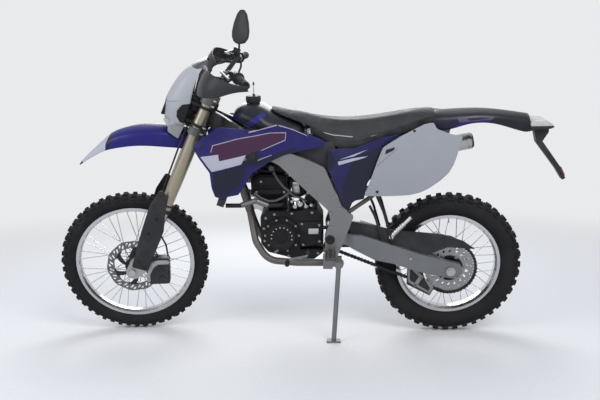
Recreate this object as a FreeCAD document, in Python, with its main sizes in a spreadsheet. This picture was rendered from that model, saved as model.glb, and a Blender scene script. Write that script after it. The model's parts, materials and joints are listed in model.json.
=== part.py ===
import FreeCAD, Part

import math
import os
import re

from FreeCAD import Placement, Rotation, Vector

# Dirt bike, parked on its side stand. Every piece is drawn upright, in millimetres:
# +X is forward, +Y is the rider's left, +Z is up, and the ground under the middle is 0.
# The fork and what turns with it are drawn in the fork's own frame, with its origin in the
# middle of the steering head, +X forward, +Z up the steering axis. The wheels are drawn
# about their axles, and the side stand about its pivot.

doc = FreeCAD.newDocument("DirtBike")
sheet = doc.addObject("Spreadsheet::Sheet", "Sizes")

# Name, millimetres or degrees, meaning
SIZES = (
    ("lean_angle", 10.45, "lean to the left on the side stand"),
    ("steer_angle", 7.6, "steering turned left at rest"),
    ("rake", 25, "steering axis back from the vertical"),
    ("head_forward", 352.5, "middle of the steering head"),
    ("head_height", 1062.5, "middle of the steering head"),
    ("head_length", 116, "steering head tube"),
    ("head_radius", 31, "steering head tube"),
    ("stem_radius", 15, "steering stem"),
    ("lug_length", 44, "lugs that take the ends of the cradle's tubes"),
    ("lug_side", 56, "lugs that take the ends of the cradle's tubes"),
    ("ear_root_length", 62, "where the side stand's ear meets the frame"),
    ("ear_root_width", 22, "where the side stand's ear meets the frame"),
    ("ear_root_height", 46, "where the side stand's ear meets the frame"),
    ("brace_length", 78, "swingarm's brace behind its pivot"),
    ("brace_height", 52, "swingarm's brace behind its pivot"),
    ("bay_length", 200, "room in the crankcase for the front sprocket"),
    ("bay_height", 125, "room in the crankcase for the front sprocket"),
    ("bearing_gap", 0.06, "radial clearance of stems, axles and pins"),
    ("seat_gap", 0.3, "between pieces that rest on each other"),
    ("pivot_forward", -193, "swingarm pivot"),
    ("pivot_height", 501, "swingarm pivot"),
    ("pivot_radius", 12, "swingarm pivot bolt"),
    ("swingarm_length", 572.6, "pivot to rear axle"),
    ("swingarm_drop", 16.33, "slope of the swingarm"),
    ("arm_inside", 86, "inner face of the swingarm's arms"),
    ("arm_thickness", 28, "each arm"),
    ("spar_thickness", 26, "frame spar"),
    ("spar_middle", 127, "middle of the widest stretch of a spar"),
    ("spar_inset", 8, "how far the pivot plates stand in from there"),
    ("tube_radius", 16, "lower cradle tubes"),
    ("down_tube_radius", 21, "down tube"),
    ("rail_radius", 11, "subframe rails"),
    ("fork_ahead", 22, "fork tubes ahead of the steering axis"),
    ("fork_spread", 98, "fork tubes out from the middle"),
    ("axle_ahead", 52.5, "front axle ahead of the steering axis"),
    ("axle_drop", 811, "front axle below the middle of the head"),
    ("fork_top_radius", 26, "outer tube at the upper clamp"),
    ("fork_radius", 29.5, "outer tube below the lower clamp"),
    ("fork_end_radius", 27, "outer tube's lower end"),
    ("fork_end", -480, "outer tube's lower end"),
    ("leg_radius", 24, "inner tube"),
    ("foot_radius", 30, "casting round the front axle"),
    ("foot_width", 60, "casting round the front axle"),
    ("clamp_thickness", 32, "upper and lower clamps"),
    ("clamp_wall", 9, "round the fork tubes"),
    ("guard_wall", 4, "plastic fork guards"),
    ("front_axle_radius", 12, "front axle"),
    ("rear_axle_radius", 12.5, "rear axle"),
    ("axle_bore", 6.5, "through the hollow rear axle"),
    ("rear_axle_half", 128, "half the rear axle's length"),
    ("front_radius", 350, "front tyre over its knobs"),
    ("front_half", 44, "half the front tyre's width"),
    ("front_rim_radius", 279, "front rim's edge"),
    ("front_rim_half", 22, "half the front rim's width"),
    ("rear_radius", 340, "rear tyre over its knobs"),
    ("rear_half", 55, "half the rear tyre's width"),
    ("rear_rim_radius", 241.5, "rear rim's edge"),
    ("rear_rim_half", 30, "half the rear rim's width"),
    ("knob_count", 20, "knobs in each row round a tyre"),
    ("knob_height", 13, "knobs over the tyre's carcass"),
    ("knob_length", 44, "knobs, along the tread"),
    ("rim_depth", 13, "bead seat below the rim's edge"),
    ("rim_wall", 3, "rim"),
    ("spoke_radius", 1.9, "spokes"),
    ("spoke_count", 36, "spokes in each wheel"),
    ("hub_radius", 27, "hub barrel"),
    ("flange_radius", 36, "front hub flange"),
    ("rear_flange_radius", 48, "rear hub flange"),
    ("front_flange_out", 33, "front hub flange out from the middle"),
    ("rear_flange_out", 44, "rear hub flange out from the middle"),
    ("front_disc_out", 56, "front brake disc out from the middle, left"),
    ("front_disc_radius", 130, "front brake disc"),
    ("rear_disc_out", 69, "rear brake disc out from the middle, right"),
    ("rear_disc_radius", 110, "rear brake disc"),
    ("disc_thickness", 4, "brake discs"),
    ("disc_band", 34, "width of the brake discs' rubbing face"),
    ("chain_out", 70, "chain line out from the middle, left"),
    ("chain_pitch", 15.875, "chain"),
    ("chain_width", 17, "over the chain's outer plates"),
    ("chain_height", 14.7, "chain plates"),
    ("chain_slot", 6.4, "between the chain's inner plates"),
    ("roller_radius", 5.1, "chain rollers"),
    ("front_teeth", 14, "front sprocket"),
    ("rear_teeth", 48, "rear sprocket"),
    ("sprocket_thickness", 5.8, "sprockets"),
    ("shaft_forward", -105, "gearbox output shaft"),
    ("shaft_height", 512, "gearbox output shaft"),
    ("crank_forward", 26, "crankshaft"),
    ("crank_height", 511, "crankshaft"),
    ("stator_radius", 81, "round cover on the crankshaft's left end"),
    ("case_half", 88, "half the crankcase's width"),
    ("cover_depth", 45, "left and right engine covers"),
    ("cylinder_half", 52, "half the cylinder's width"),
    ("cam_half", 68, "half the cylinder head's width"),
    ("bar_radius", 11, "handlebar at the grips"),
    ("grip_radius", 17, "grips"),
    ("grip_length", 133, "grips"),
    ("bar_half", 410, "half the handlebar's length"),
    ("panel_wall", 5, "plastic body panels"),
    ("plate_out", 163, "number plates out from the middle"),
    ("shroud_out", 198, "widest part of the radiator shrouds"),
    ("tank_half", 138, "half the tank's width"),
    ("peg_length", 115, "footpegs"),
    ("peg_width", 50, "footpegs, front to back"),
    ("peg_height", 16, "footpegs"),
    ("stand_forward", -232, "side stand's pivot"),
    ("stand_height", 390, "side stand's pivot"),
    ("stand_out", 166, "middle of the side stand's eye"),
    ("stand_radius", 11, "side stand's tube"),
    ("stand_reach", 24, "foot ahead of the pivot"),
    ("stand_foot_out", 231, "foot from the wheels' line, on the ground"),
    ("stand_eye_radius", 17, "side stand's eye"),
    ("stand_eye_width", 24, "side stand's eye"),
    ("stand_pin_radius", 7, "side stand's pivot pin"),
)
for row, (alias, amount, meaning) in enumerate(SIZES, 1):
    sheet.set(f"A{row}", alias)
    sheet.set(f"B{row}", str(amount))
    sheet.set(f"C{row}", meaning)
    sheet.setAlias(f"B{row}", alias)
doc.recompute()


def size(alias):
    """A driving size, read from the sheet."""
    return float(sheet.get(alias))


def bind(obj, prop, terms):
    """Ties a property to the sheet's sizes, such as "tank_half + seat_gap", or to a number."""
    obj.setExpression(prop, re.sub(r"[a-z]\w*", r"Sizes.\g<0>", str(terms)))


# Outlines, in the plane of a view: a list of corners, each (across, up) or (across, up, radius)

VIEWS = {
    "side": ("XZ_Plane", Rotation(Vector(1, 0, 0), 90), Vector(0, 1, 0)),
    "plan": ("XY_Plane", Rotation(), Vector(0, 0, 1)),
    "front": ("YZ_Plane", Rotation(Vector(1, 1, 1), 120), Vector(1, 0, 0)),
}


def corner(before, here, after, radius):
    """The arc that rounds a corner: its start, middle and end."""
    back = (before - here).normalize()
    ahead = (after - here).normalize()
    half = back.getAngle(ahead) / 2
    reach = radius / math.tan(half)
    inward = (back + ahead).normalize()
    middle = here + inward * (radius / math.sin(half) - radius)
    return here + back * reach, middle, here + ahead * reach


def rounded(points, closed=True):
    """Lines through the corners, and an arc at each corner that has a radius."""
    spots = [Vector(p[0], p[1], 0) for p in points]
    count = len(points)
    bends = []
    for i, (spot, point) in enumerate(zip(spots, points)):
        inner = closed or 0 < i < count - 1
        if inner and len(point) > 2:
            bends.append(corner(spots[i - 1], spot, spots[(i + 1) % count], point[2]))
        else:
            bends.append((spot, None, spot))
    edges = []
    for i in range(count if closed else count - 1):
        start, end = bends[i][2], bends[(i + 1) % count][0]
        if (end - start).Length > 1e-6:
            edges.append(Part.LineSegment(start, end))
    edges += [Part.Arc(*bend) for bend in bends if bend[1] is not None]
    return edges


def circle(across, up, radius):
    """A round outline."""
    return [Part.Circle(Vector(across, up, 0), Vector(0, 0, 1), radius)]


def sketch(name, view, *outlines):
    """A free sketch in a view's plane through the origin."""
    drawing = doc.addObject("Sketcher::SketchObject", name)
    drawing.Placement = Placement(Vector(), VIEWS[view][1])
    for outline in outlines:
        drawing.addGeometry(outline, False)
    return drawing


def body_sketch(body, name, view, outlines, offset=None):
    """A sketch on one of a body's own planes, moved along the plane's axis by an offset."""
    drawing = body.newObject("Sketcher::SketchObject", name)
    role = VIEWS[view][0]
    plane = next(item for item in body.Origin.OriginFeatures if item.Role == role)
    drawing.AttachmentSupport = [(plane, "")]
    drawing.MapMode = "FlatFace"
    for outline in outlines:
        drawing.addGeometry(outline, False)
    if offset is not None:
        sign = "-" if view == "side" else ""
        bind(drawing, ".AttachmentOffset.Base.z", f"{sign}({offset})")
    return drawing


def plate(name, view, outlines, middle, thickness):
    """A flat piece: outlines padded both ways from a middle plane."""
    body = doc.addObject("PartDesign::Body", name)
    pad = body.newObject("PartDesign::Pad", name + "_pad")
    pad.Profile = body_sketch(body, name + "_outline", view, outlines, middle)
    pad.SideType = "Symmetric"
    bind(pad, "Length", thickness)
    return body


def turned(name, outlines):
    """A turned piece: outlines of (along the axle, radius) spun about the Y axis."""
    body = doc.addObject("PartDesign::Body", name)
    spin = body.newObject("PartDesign::Revolution", name + "_spin")
    profile = body_sketch(body, name + "_outline", "front", outlines)
    spin.Profile = profile
    spin.ReferenceAxis = (profile, ["H_Axis"])
    spin.Angle = 360
    return body


def slab(name, view, outlines, depth=3000):
    """A view's outline carried right through the bike, to be cut down by other views."""
    solid = doc.addObject("Part::Extrusion", name)
    solid.Base = sketch(name + "_outline", view, *outlines)
    solid.DirMode = "Custom"
    solid.Dir = VIEWS[view][2]
    solid.LengthFwd = depth
    solid.Symmetric = True
    solid.Solid = True
    return solid


def carved(name, **views):
    """What lies inside its outline in every view that is given."""
    slabs = [slab(f"{name}_{view}", view, [rounded(points)]) for view, points in views.items()]
    common = doc.addObject("Part::MultiCommon", name)
    common.Shapes = slabs
    return common


def strip(line, wall):
    """A closed outline of constant wall, inside a line of corners and beside it."""
    spots = [Vector(*p, 0) for p in line]
    inner = []
    for i, spot in enumerate(spots):
        ahead = (spots[min(i + 1, len(spots) - 1)] - spots[max(i - 1, 0)]).normalize()
        inner.append(spot + Vector(ahead.y, -ahead.x, 0) * wall)
    return [(p.x, p.y) for p in spots + inner[::-1]]


def level(line, x):
    """How far across or up a line of corners is at x, counted between its corners."""
    spots = sorted((p[0], p[1]) for p in line)
    for (x0, z0), (x1, z1) in zip(spots, spots[1:]):
        if x0 <= x <= x1:
            return z0 + (z1 - z0) * (x - x0) / (x1 - x0)
    raise ValueError(f"{x} is beyond the line")


def loft(name, stations):
    """A skin or solid through stations, each (placement, corners)."""
    solid = doc.addObject("Part::Loft", name)
    sections = []
    for i, (place, corners) in enumerate(stations):
        section = doc.addObject("Sketcher::SketchObject", f"{name}_station_{i}")
        section.addGeometry(rounded(corners), False)
        section.Placement = place
        sections.append(section)
    solid.Sections = sections
    solid.Solid = True
    solid.Ruled = True
    return solid


def cylinder(name, start, along, radius, length):
    """A round bar. Its start and direction are vectors, its radius and length sheet terms."""
    bar = doc.addObject("Part::Cylinder", name)
    bind(bar, "Radius", radius)
    bind(bar, "Height", length)
    bar.Placement = Placement(start, Rotation(Vector(0, 0, 1), along))
    return bar


def route(name, points):
    """A path of straight runs joined by tangent arcs, through (x, y, z, radius) corners."""
    spots = [Vector(*p[:3]) for p in points]
    edges = []
    start = spots[0]
    for i in range(1, len(points) - 1):
        first, middle, last = corner(spots[i - 1], spots[i], spots[i + 1], points[i][3])
        edges.append(Part.LineSegment(start, first).toShape())
        edges.append(Part.Arc(first, middle, last).toShape())
        start = last
    edges.append(Part.LineSegment(start, spots[-1]).toShape())
    path = doc.addObject("Part::Feature", name)
    path.Shape = Part.Wire(edges)
    return path


def tube(name, points, radius):
    """A bent bar along a route; its radius is a sheet term."""
    path = route(name + "_route", points)
    ring = doc.addObject("Part::Circle", name + "_ring")
    bind(ring, "Radius", radius)
    along = Vector(*points[1][:3]) - Vector(*points[0][:3])
    ring.Placement = Placement(Vector(*points[0][:3]), Rotation(Vector(0, 0, 1), along))
    sweep = doc.addObject("Part::Sweep", name)
    sweep.Sections = [ring]
    sweep.Spine = (path, [f"Edge{i + 1}" for i in range(len(path.Shape.Edges))])
    sweep.Solid = True
    return sweep


def mirrored(name, source):
    """The same piece on the bike's other side."""
    twin = doc.addObject("Part::Mirroring", name)
    twin.Source = source
    twin.Normal = Vector(0, 1, 0)
    return twin


def fused(name, *pieces):
    """Pieces welded or moulded as one."""
    whole = doc.addObject("Part::MultiFuse", name)
    whole.Shapes = list(pieces)
    return whole


def both(name, left, weld=False):
    """A left piece and its right twin."""
    twins = [left, mirrored(name + "_twin", left)]
    if weld:
        return fused(name, *twins)
    pair = doc.addObject("Part::Compound", name)
    pair.Links = twins
    return pair


def bored(name, base, *tools):
    """A piece with holes cut in it."""
    cut = doc.addObject("Part::Cut", name)
    cut.Base = base
    cut.Tool = tools[0] if len(tools) == 1 else fused(name + "_tools", *tools)
    return cut


# Where things are

RAKE = math.radians(size("rake"))
DROP = math.radians(size("swingarm_drop"))
HEAD = Vector(size("head_forward"), 0, size("head_height"))
STEER_AXIS = Vector(-math.sin(RAKE), 0, math.cos(RAKE))
PIVOT = Vector(size("pivot_forward"), 0, size("pivot_height"))
REAR_AXLE = PIVOT + Vector(-math.cos(DROP), 0, -math.sin(DROP)) * size("swingarm_length")
SHAFT = Vector(size("shaft_forward"), 0, size("shaft_height"))
CRANK = Vector(size("crank_forward"), 0, size("crank_height"))
LEFT = Vector(0, 1, 0)
UP = Vector(0, 0, 1)
FORK_FRAME = Placement(HEAD, Rotation(Vector(0, 1, 0), -size("rake")))
FRONT_AXLE = Vector(size("axle_ahead"), 0, -size("axle_drop"))
STEERED = Placement(HEAD, Rotation(STEER_AXIS, size("steer_angle"))).multiply(
    Placement(Vector(), FORK_FRAME.Rotation))


# Rows of knobs across each tyre: middle out from the wheel's, half-width, tips below the radius
KNOB_ROWS = {
    "front": ((0, 15, 0), (size("front_half") - 11, 11, 14)),
    "rear": ((0, 20, 0), (size("rear_half") - 14, 14, 17)),
}


def knob_corners(wheel, drop):
    """One row's knobs seen from the side: a list of outlines, each of four corners."""
    tip = size(f"{wheel}_radius") - drop
    root = tip - 2 * size("knob_height")
    count = int(size("knob_count"))
    half = size("knob_length") / 2 / tip
    knobs = []
    for i in range(count):
        middle = 2 * math.pi * i / count
        knobs.append([(radius * math.cos(middle + share), radius * math.sin(middle + share))
                      for radius, share in ((root, -half), (tip, -half), (tip, half), (root, half))])
    return knobs


def lowest(place, wheel):
    """Height of a tyre's lowest corner, for a wheel that is put in that place."""
    _, half, drop = KNOB_ROWS[wheel][0]
    return min(place.multVec(Vector(x, side * half, z)).z
               for knob in knob_corners(wheel, drop) for x, z in knob for side in (-1, 1))


def resting_place():
    """The parked bike: leaned on its stand, with both tyres on the ground."""
    lean = Rotation(Vector(1, 0, 0), -size("lean_angle"))
    pitch, height = 0.0, 0.0
    for _ in range(8):
        place = Placement(Vector(0, 0, height), Rotation(LEFT, pitch).multiply(lean))
        front = place.multiply(STEERED).multiply(Placement(FRONT_AXLE, Rotation()))
        rear = place.multiply(Placement(REAR_AXLE, Rotation()))
        front_high = lowest(front, "front")
        rear_high = lowest(rear, "rear")
        span = front.Base.x - rear.Base.x
        pitch += math.degrees((front_high - rear_high) / span)
        height -= (front_high + rear_high) / 2
    return place


PARKED = resting_place()

NODES = []


def node(name, piece, place):
    """Names a finished piece and puts it where its body stands."""
    piece.Label = name
    piece.Placement = place.multiply(piece.Placement)
    NODES.append(piece)
    return piece


CHASSIS = PARKED
STEERING = PARKED.multiply(STEERED)
FRONT_WHEEL = STEERING.multiply(Placement(FRONT_AXLE, Rotation()))
REAR_WHEEL = PARKED.multiply(Placement(REAR_AXLE, Rotation()))


# Frame

# How far out the side panels are, and x, y of the number plates' outer face
PANEL_OUT = 138.5
PLATE_PLAN = tuple((x, size("plate_out") - inset) for x, inset in (
    (-335, 21), (-420, 5), (-560, 0), (-680, 5), (-780, 15)))
# x, z, corner radius
SPAR_SIDE = (
    (322, 1078), (368, 1018), (330, 1000, 60), (30, 852, 60), (-187, 637, 30), (-196, 589, 40),
    (-168, 515, 40), (-176, 408, 8), (-222, 408, 8), (-300, 606, 8), (-246, 655, 20),
    (-172, 835, 30), (-100, 873, 40), (60, 935, 60),
)
SPAR_TOP = (*SPAR_SIDE[-3:], SPAR_SIDE[0])
SPAR_FACE = size("spar_middle") + size("spar_thickness") / 2
PLATE_FACE = SPAR_FACE - size("spar_inset")
CROSS_TUBE = Vector(-128, 0, 838)
CROSS_RADIUS = 16
RADIATOR_INSIDE = 95
DOWN_TUBE_TOP = Vector(306, 0, 975)
DOWN_TUBE_LINE = (DOWN_TUBE_TOP - Vector(208, 0, 706)).normalize()
CRADLE_END = Vector(-160, 92, 374)


def spar():
    """One aluminium side spar, from the head down to its pivot plate."""
    half = size("spar_thickness") / 2
    widest = size("spar_middle")
    inset = size("spar_inset")
    line = [(372, 30), (285, 36), (110, widest), (-110, widest), (-158, widest - inset),
            (-310, widest - inset)]
    band = [(x, y + half) for x, y in line] + [(x, y - half) for x, y in reversed(line)]
    return carved("spar", side=SPAR_SIDE, plan=band)


def stand_bracket():
    """The ear under the left pivot plate that holds the side stand's pin."""
    face = STAND_PIVOT - STAND_AXIS * (size("stand_eye_width") / 2 + size("seat_gap"))
    ear = cylinder("stand_ear", face, STAND_AXIS * -1, "stand_eye_radius + 3", 44)
    inner = PLATE_FACE - size("spar_thickness")
    root = doc.addObject("Part::Box", "stand_ear_root")
    bind(root, "Length", "ear_root_length")
    bind(root, "Width", "ear_root_width")
    bind(root, "Height", "ear_root_height")
    root.Placement = Placement(Vector(size("stand_forward") - 14, inner + 2,
                                      size("stand_height") - 22), Rotation())
    return fused("stand_bracket", ear, root)


def cradle_lugs():
    """Blocks under the pivot plates that take the ends of the cradle's tubes."""
    lug = doc.addObject("Part::Box", "cradle_lug")
    bind(lug, "Length", "lug_length")
    bind(lug, "Width", "lug_side")
    bind(lug, "Height", "lug_side")
    lug.Placement = Placement(CRADLE_END + Vector(-size("lug_length") - size("seat_gap"),
                                                  -size("tube_radius"), -size("tube_radius")),
                              Rotation())
    return both("cradle_lugs", lug, weld=True)


def main_frame():
    """Steering head, twin spars with pivot plates, cross tubes and the stand's ear."""
    span = size("spar_middle") - size("spar_inset")
    low_tube = Vector(-200, 0, 459)
    head = cylinder("head_tube", HEAD - STEER_AXIS * (size("head_length") / 2), STEER_AXIS,
                    "head_radius", "head_length")
    socket = cylinder("down_tube_socket", DOWN_TUBE_TOP + DOWN_TUBE_LINE * size("seat_gap"),
                      DOWN_TUBE_LINE, "down_tube_radius + 3", 56)
    cross = [cylinder(f"cross_tube_{i}", middle - LEFT * span, LEFT, radius, 2 * span)
             for i, (middle, radius) in enumerate(((CROSS_TUBE, CROSS_RADIUS), (low_tube, 10)))]
    bolt = cylinder("pivot_bolt", PIVOT - LEFT * span, LEFT, "pivot_radius", 2 * span)
    welded = fused("welded_frame", head, socket, both("spars", spar(), weld=True), *cross, bolt,
                   cradle_lugs(), stand_bracket())
    stem_hole = cylinder("stem_hole", HEAD - STEER_AXIS * 100, STEER_AXIS,
                         "stem_radius + bearing_gap", 200)
    pin_hole = cylinder("stand_pin_hole", STAND_PIVOT - STAND_AXIS * 120, STAND_AXIS,
                        "stand_pin_radius + bearing_gap", 160)
    return bored("main_frame", welded, stem_hole, pin_hole)


# Side stand: where its foot meets the ground, and the pin that it folds about

STAND_PIVOT = Vector(size("stand_forward"), size("stand_out"), size("stand_height"))
FOOT_GROUND = PARKED.inverse().multVec(
    Vector(PARKED.multVec(STAND_PIVOT).x + size("stand_reach"), size("stand_foot_out"), 0))
STAND_DOWN = (FOOT_GROUND - STAND_PIVOT).normalize()
STAND_FOLDED = Vector(-0.98, 0.05, 0.19)
STAND_AXIS = STAND_DOWN.cross(STAND_FOLDED).normalize()


def cradle():
    """Down tube and the two lower tubes that pass under the engine."""
    down = tube("down_tube", ((*DOWN_TUBE_TOP,), (208, 0, 706, 120), (180, 0, 600)),
                "down_tube_radius")
    # x, y, z, bend radius
    lower = tube("lower_tube", (
        (186, 0, 625), (170, 30, 550, 60), (152, 72, 470, 90), (96, 88, 385, 90),
        (-40, 92, 374, 200), (*CRADLE_END,)), "tube_radius")
    reach = RADIATOR_INSIDE - size("seat_gap")
    bar = cylinder("radiator_bar", Vector(243, -reach, 800), LEFT, 7, 2 * reach)
    return fused("cradle", down, bar, both("lower_tubes", lower, weld=True))


def subframe():
    """Tubes that carry the seat and the rear fender, their struts, and bars for the panels."""
    gap = size("seat_gap")
    over = CROSS_TUBE.z + CROSS_RADIUS + size("rail_radius") + gap
    beside = PLATE_FACE - size("spar_thickness") - (size("rail_radius") - 1) - gap
    # x, y, z, bend radius
    line = ((-116, 62, over), (-152, 62, over, 100), (-330, 62, 905, 300), (-640, 62, 1005))
    rail = tube("seat_rail", line, "rail_radius")
    strut = tube("strut", ((-266, beside, 612), (-398, 80, 700, 120), (-560, 62, 975)),
                 "rail_radius - 1")
    side = fused("rail_and_strut", rail, strut)
    bars = []
    for x, inside in ((-330, PANEL_OUT - size("panel_wall")),
                      (-628, level(PLATE_PLAN, -628) - size("panel_wall"))):
        reach = inside - gap
        middle = Vector(x, -reach, level([(p[0], p[2]) for p in line], x))
        bars.append(cylinder(f"panel_bar_{-x}", middle, LEFT, 7, 2 * reach))
    return fused("subframe", both("rails", side, weld=True), *bars)


def pivot_caps():
    """Round caps over the ends of the swingarm's pivot bolt."""
    cap = cylinder("pivot_cap", PIVOT + LEFT * (PLATE_FACE + size("seat_gap")), LEFT,
                   "pivot_radius + 10", 5)
    return both("pivot_caps", cap)


# Engine

# The crankcase's underside rests on the cradle's tubes
SUMP = CRADLE_END.z + size("tube_radius") + size("seat_gap") - CRANK.z
HEAD_FRONT = 140
# x, z from the crankshaft, corner radius
CASE_SIDE = (
    (98, 92, 20), (100, -45, 30), (66, -86, 20), (-66, SUMP, 20), (-145, SUMP, 12),
    (-186, -88, 20), (-186, 60, 30), (-150, 125, 30), (-60, 110, 20), (60, 112, 20),
)
CYLINDER_SIDE = ((-22, 112.3), (118, 112.3), (122, 172), (-24, 172))
CAM_SIDE = ((-28, 172.3), (134, 172.3), (HEAD_FRONT, 190, 8), (HEAD_FRONT, 262, 14),
            (100, 276, 14), (0, 276, 14), (-30, 262, 14))
# Inner wall of the chain's bay, and the gearbox's output shaft
CHAIN_BAY = 56
SHAFT_RADIUS = 9.7


def about(centre, points):
    """Corners given from a centre, moved to the bike's frame."""
    return [(centre.x + p[0], centre.z + p[1], *p[2:]) for p in points]


def crankcase():
    """Crankcase and gearbox in one block, with a bay on the left for the chain."""
    block = plate("case_block", "side", [rounded(about(CRANK, CASE_SIDE))], 0, "2 * case_half")
    bay = doc.addObject("Part::Box", "sprocket_bay")
    bind(bay, "Length", "bay_length")
    bind(bay, "Width", "case_half")
    bind(bay, "Height", "bay_height")
    bay.Placement = Placement(SHAFT + Vector(-150, CHAIN_BAY, -75), Rotation())
    stub = cylinder("output_shaft", SHAFT, LEFT, SHAFT_RADIUS, size("chain_out") + 8)
    return fused("crankcase", bored("open_case", block, bay), stub)


def cylinder_block():
    """Cylinder on the crankcase."""
    return plate("engine_cylinder", "side", [rounded(about(CRANK, CYLINDER_SIDE))], 0,
                 "2 * cylinder_half")


def cylinder_head():
    """Cylinder head with its cam cover."""
    return plate("engine_head", "side", [rounded(about(CRANK, CAM_SIDE))], 0, "2 * cam_half")


def engine_covers():
    """Stator cover and sprocket cover on the left, clutch cover on the right."""
    face = size("case_half")
    stator = cylinder("stator_cover", CRANK + LEFT * face, LEFT, "stator_radius", "cover_depth")
    sprocket = plate("sprocket_plate", "side",
                     [rounded(about(SHAFT, ((-52, 62, 20), (-52, -44, 20), (72, -62, 20),
                                            (72, 62, 20))))],
                     "case_half + seat_gap + 6", 12)
    room = cylinder("stator_room", CRANK, LEFT, "stator_radius + 2", 200)
    clutch = cylinder("clutch_cover", CRANK - LEFT * face + Vector(-70, 0, 0), LEFT * -1,
                      "stator_radius + 4", "cover_depth - 6")
    covers = doc.addObject("Part::Compound", "engine_covers")
    covers.Links = [stator, bored("sprocket_cover", sprocket, room), clutch]
    return covers


# Exhaust and cooling

PIPE_END = (-520, -103, 838)


def exhaust_pipe():
    """Header, from the cylinder head's front round its right side to the silencer."""
    # x, y, z, bend radius
    port = CRANK.x + HEAD_FRONT + size("seat_gap")
    return tube("exhaust_pipe", (
        (port, -50, 740), (230, -50, 740, 32), (214, -100, 662, 35), (110, -100, 645, 50),
        (-40, -84, 655, 80), (-200, -80, 734, 120), (-330, -103, 800, 150), PIPE_END), 19)


def silencer():
    """Silencer behind the right number plate, in line with the pipe's end."""
    line = Vector(-1, 0, 0.2).normalize()
    return cylinder("silencer", Vector(*PIPE_END) + line * size("seat_gap"), line, 38, 348)


def radiators():
    """A radiator on each side of the down tube."""
    core = doc.addObject("Part::Box", "radiator")
    core.Length = 32
    core.Width = 73
    core.Height = 262
    turn = Rotation(LEFT, -20)
    core.Placement = Placement(Vector(250, RADIATOR_INSIDE, 795) - turn.multVec(Vector(16, 0, 131)), turn)
    return both("radiators", core)


def coolant_hose():
    """Hose from the left radiator's foot to the cylinder."""
    # x, y, z, bend radius
    return tube("coolant_hose", (
        (275, 125, 662), (205, 118, 660, 40), (140, 100, 676, 50), (84, 92, 650, 40),
        (24, 84, 652, 14), (24, 52.4, 652)), 10)


def carburettor():
    """Carburettor between the cylinder head and the frame's cross tube."""
    body = cylinder("carburettor_body", CRANK + Vector(-30.3, 0, 225), Vector(-1, 0, 0), 26, 60)
    bowl = doc.addObject("Part::Box", "float_bowl")
    bowl.Length = 44
    bowl.Width = 48
    bowl.Height = 50
    bowl.Placement = Placement(CRANK + Vector(-84, -24, 176), Rotation())
    return fused("carburettor", body, bowl)


# Bodywork

# x, bottom, top, half-width at the bottom, middle and top
TANK_STATIONS = (
    (-90, 893, 990, 70, 76, 60),
    (0, 928, 1047, 104, 120, 72),
    (72, level(SPAR_TOP, 72) + size("seat_gap"), 1080, 128, size("tank_half"), 72),
    (108, level(SPAR_TOP, 108) + size("seat_gap"), 1108, 128, size("tank_half"), 74),
    (200, 1021, 1106, 84, 100, 62),
    (238, 1040, 1060, 50, 56, 44),
)
SEAT_REAR = -658
TANK_TOP = [(x, high) for x, low, high, *_ in TANK_STATIONS]
# x, bottom, top, half-width at the bottom and top
SEAT_STATIONS = (
    (64, level(TANK_TOP, 64) + size("seat_gap"), 1092, 50, 38),
    (28, level(TANK_TOP, 28) + size("seat_gap"), 1084, 64, 50),
    (-64, 1027, 1062, 82, 62),
    (-150, 990, 1039, 100, 76),
    (-243, 938, 1029, 116, 92),
    (-322, 938, 1030, 120, 98),
    (-421, 979, 1041, 112, 92),
    (-560, 1020, 1064, 94, 78),
    (SEAT_REAR, 1052, 1074, 76, 62),
)
FRONT_PLANE = VIEWS["front"][1]


def fuel_tank():
    """Tank over the frame spars, in front of the seat."""
    stations = []
    for x, low, high, wide_low, wide_middle, wide_high in TANK_STATIONS:
        middle = low + (high - low) * 0.45
        corners = [(-wide_low, low), (wide_low, low), (wide_middle, middle), (wide_high, high),
                   (-wide_high, high), (-wide_middle, middle)]
        stations.append((Placement(Vector(x, 0, 0), FRONT_PLANE), corners))
    return loft("fuel_tank", stations)


def tank_cap():
    """Round filler cap with its vent hose standing up."""
    cap = cylinder("cap", Vector(146, 0, 1108.3), UP, 34, 31)
    hose = cylinder("vent_hose", Vector(143, 0, 1135), UP, 4, 64)
    return fused("tank_cap", cap, hose)


def seat():
    """Long flat seat."""
    stations = []
    for x, low, high, wide_low, wide_high in SEAT_STATIONS:
        corners = [(-wide_low, low), (wide_low, low), (wide_high, high), (-wide_high, high)]
        stations.append((Placement(Vector(x, 0, 0), FRONT_PLANE), corners))
    return loft("seat", stations)


# x, z, corner radius
SHROUD_SIDE = (
    (279, 1032), (360, 982), (395, 950, 8), (396, 934, 8), (373, 897), (329, 834), (325, 762),
    (313, 718, 8), (294, 711, 8), (207, 725, 8), (182, 761), (144, 821), (69, 868), (3, 896),
    (-54, 911), (-166, 934), (-184, 955), (-150, 972), (-48, 1009), (26, 1035), (113, 1014),
)
SHROUD_REAR = SPAR_FACE + size("seat_gap") + size("panel_wall")
SHROUD_PLAN = (
    (397, size("shroud_out") - 22), (340, size("shroud_out") - 2), (250, size("shroud_out")),
    (120, size("shroud_out") - 20), (60, size("shroud_out") - 38), (10, SHROUD_REAR),
    (-190, SHROUD_REAR),
)
PANEL_SIDE = (
    (-186, 922), (-306, 925), (-413, 967), (-505, 984), (-421, 924), (-410, 884), (-388, 804),
    (-361, 767), (-346, 693), (-306, 685), (-262, 652), (-184, 836),
)
PANEL_PLAN = ((-180, PANEL_OUT), (-510, PANEL_OUT))
PLATE_SIDE = (
    (-640, 1036), (-599, 1030), (-502, 980), (-425, 930), (-409, 892), (-345, 706, 6),
    (-473, 710), (-570, 720, 30), (-628, 746, 40), (-709, 812, 60), (-739, 869, 60),
    (-767, 975, 12), (-712, 986), (-652, 1009),
)


def side_skin(name, side, line, wall="panel_wall"):
    """A pair of plastic panels: an outline from the side, bent along a line seen from above."""
    left = carved(name + "_left", side=side, plan=strip(line, -size(wall)))
    return both(name, left)


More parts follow.
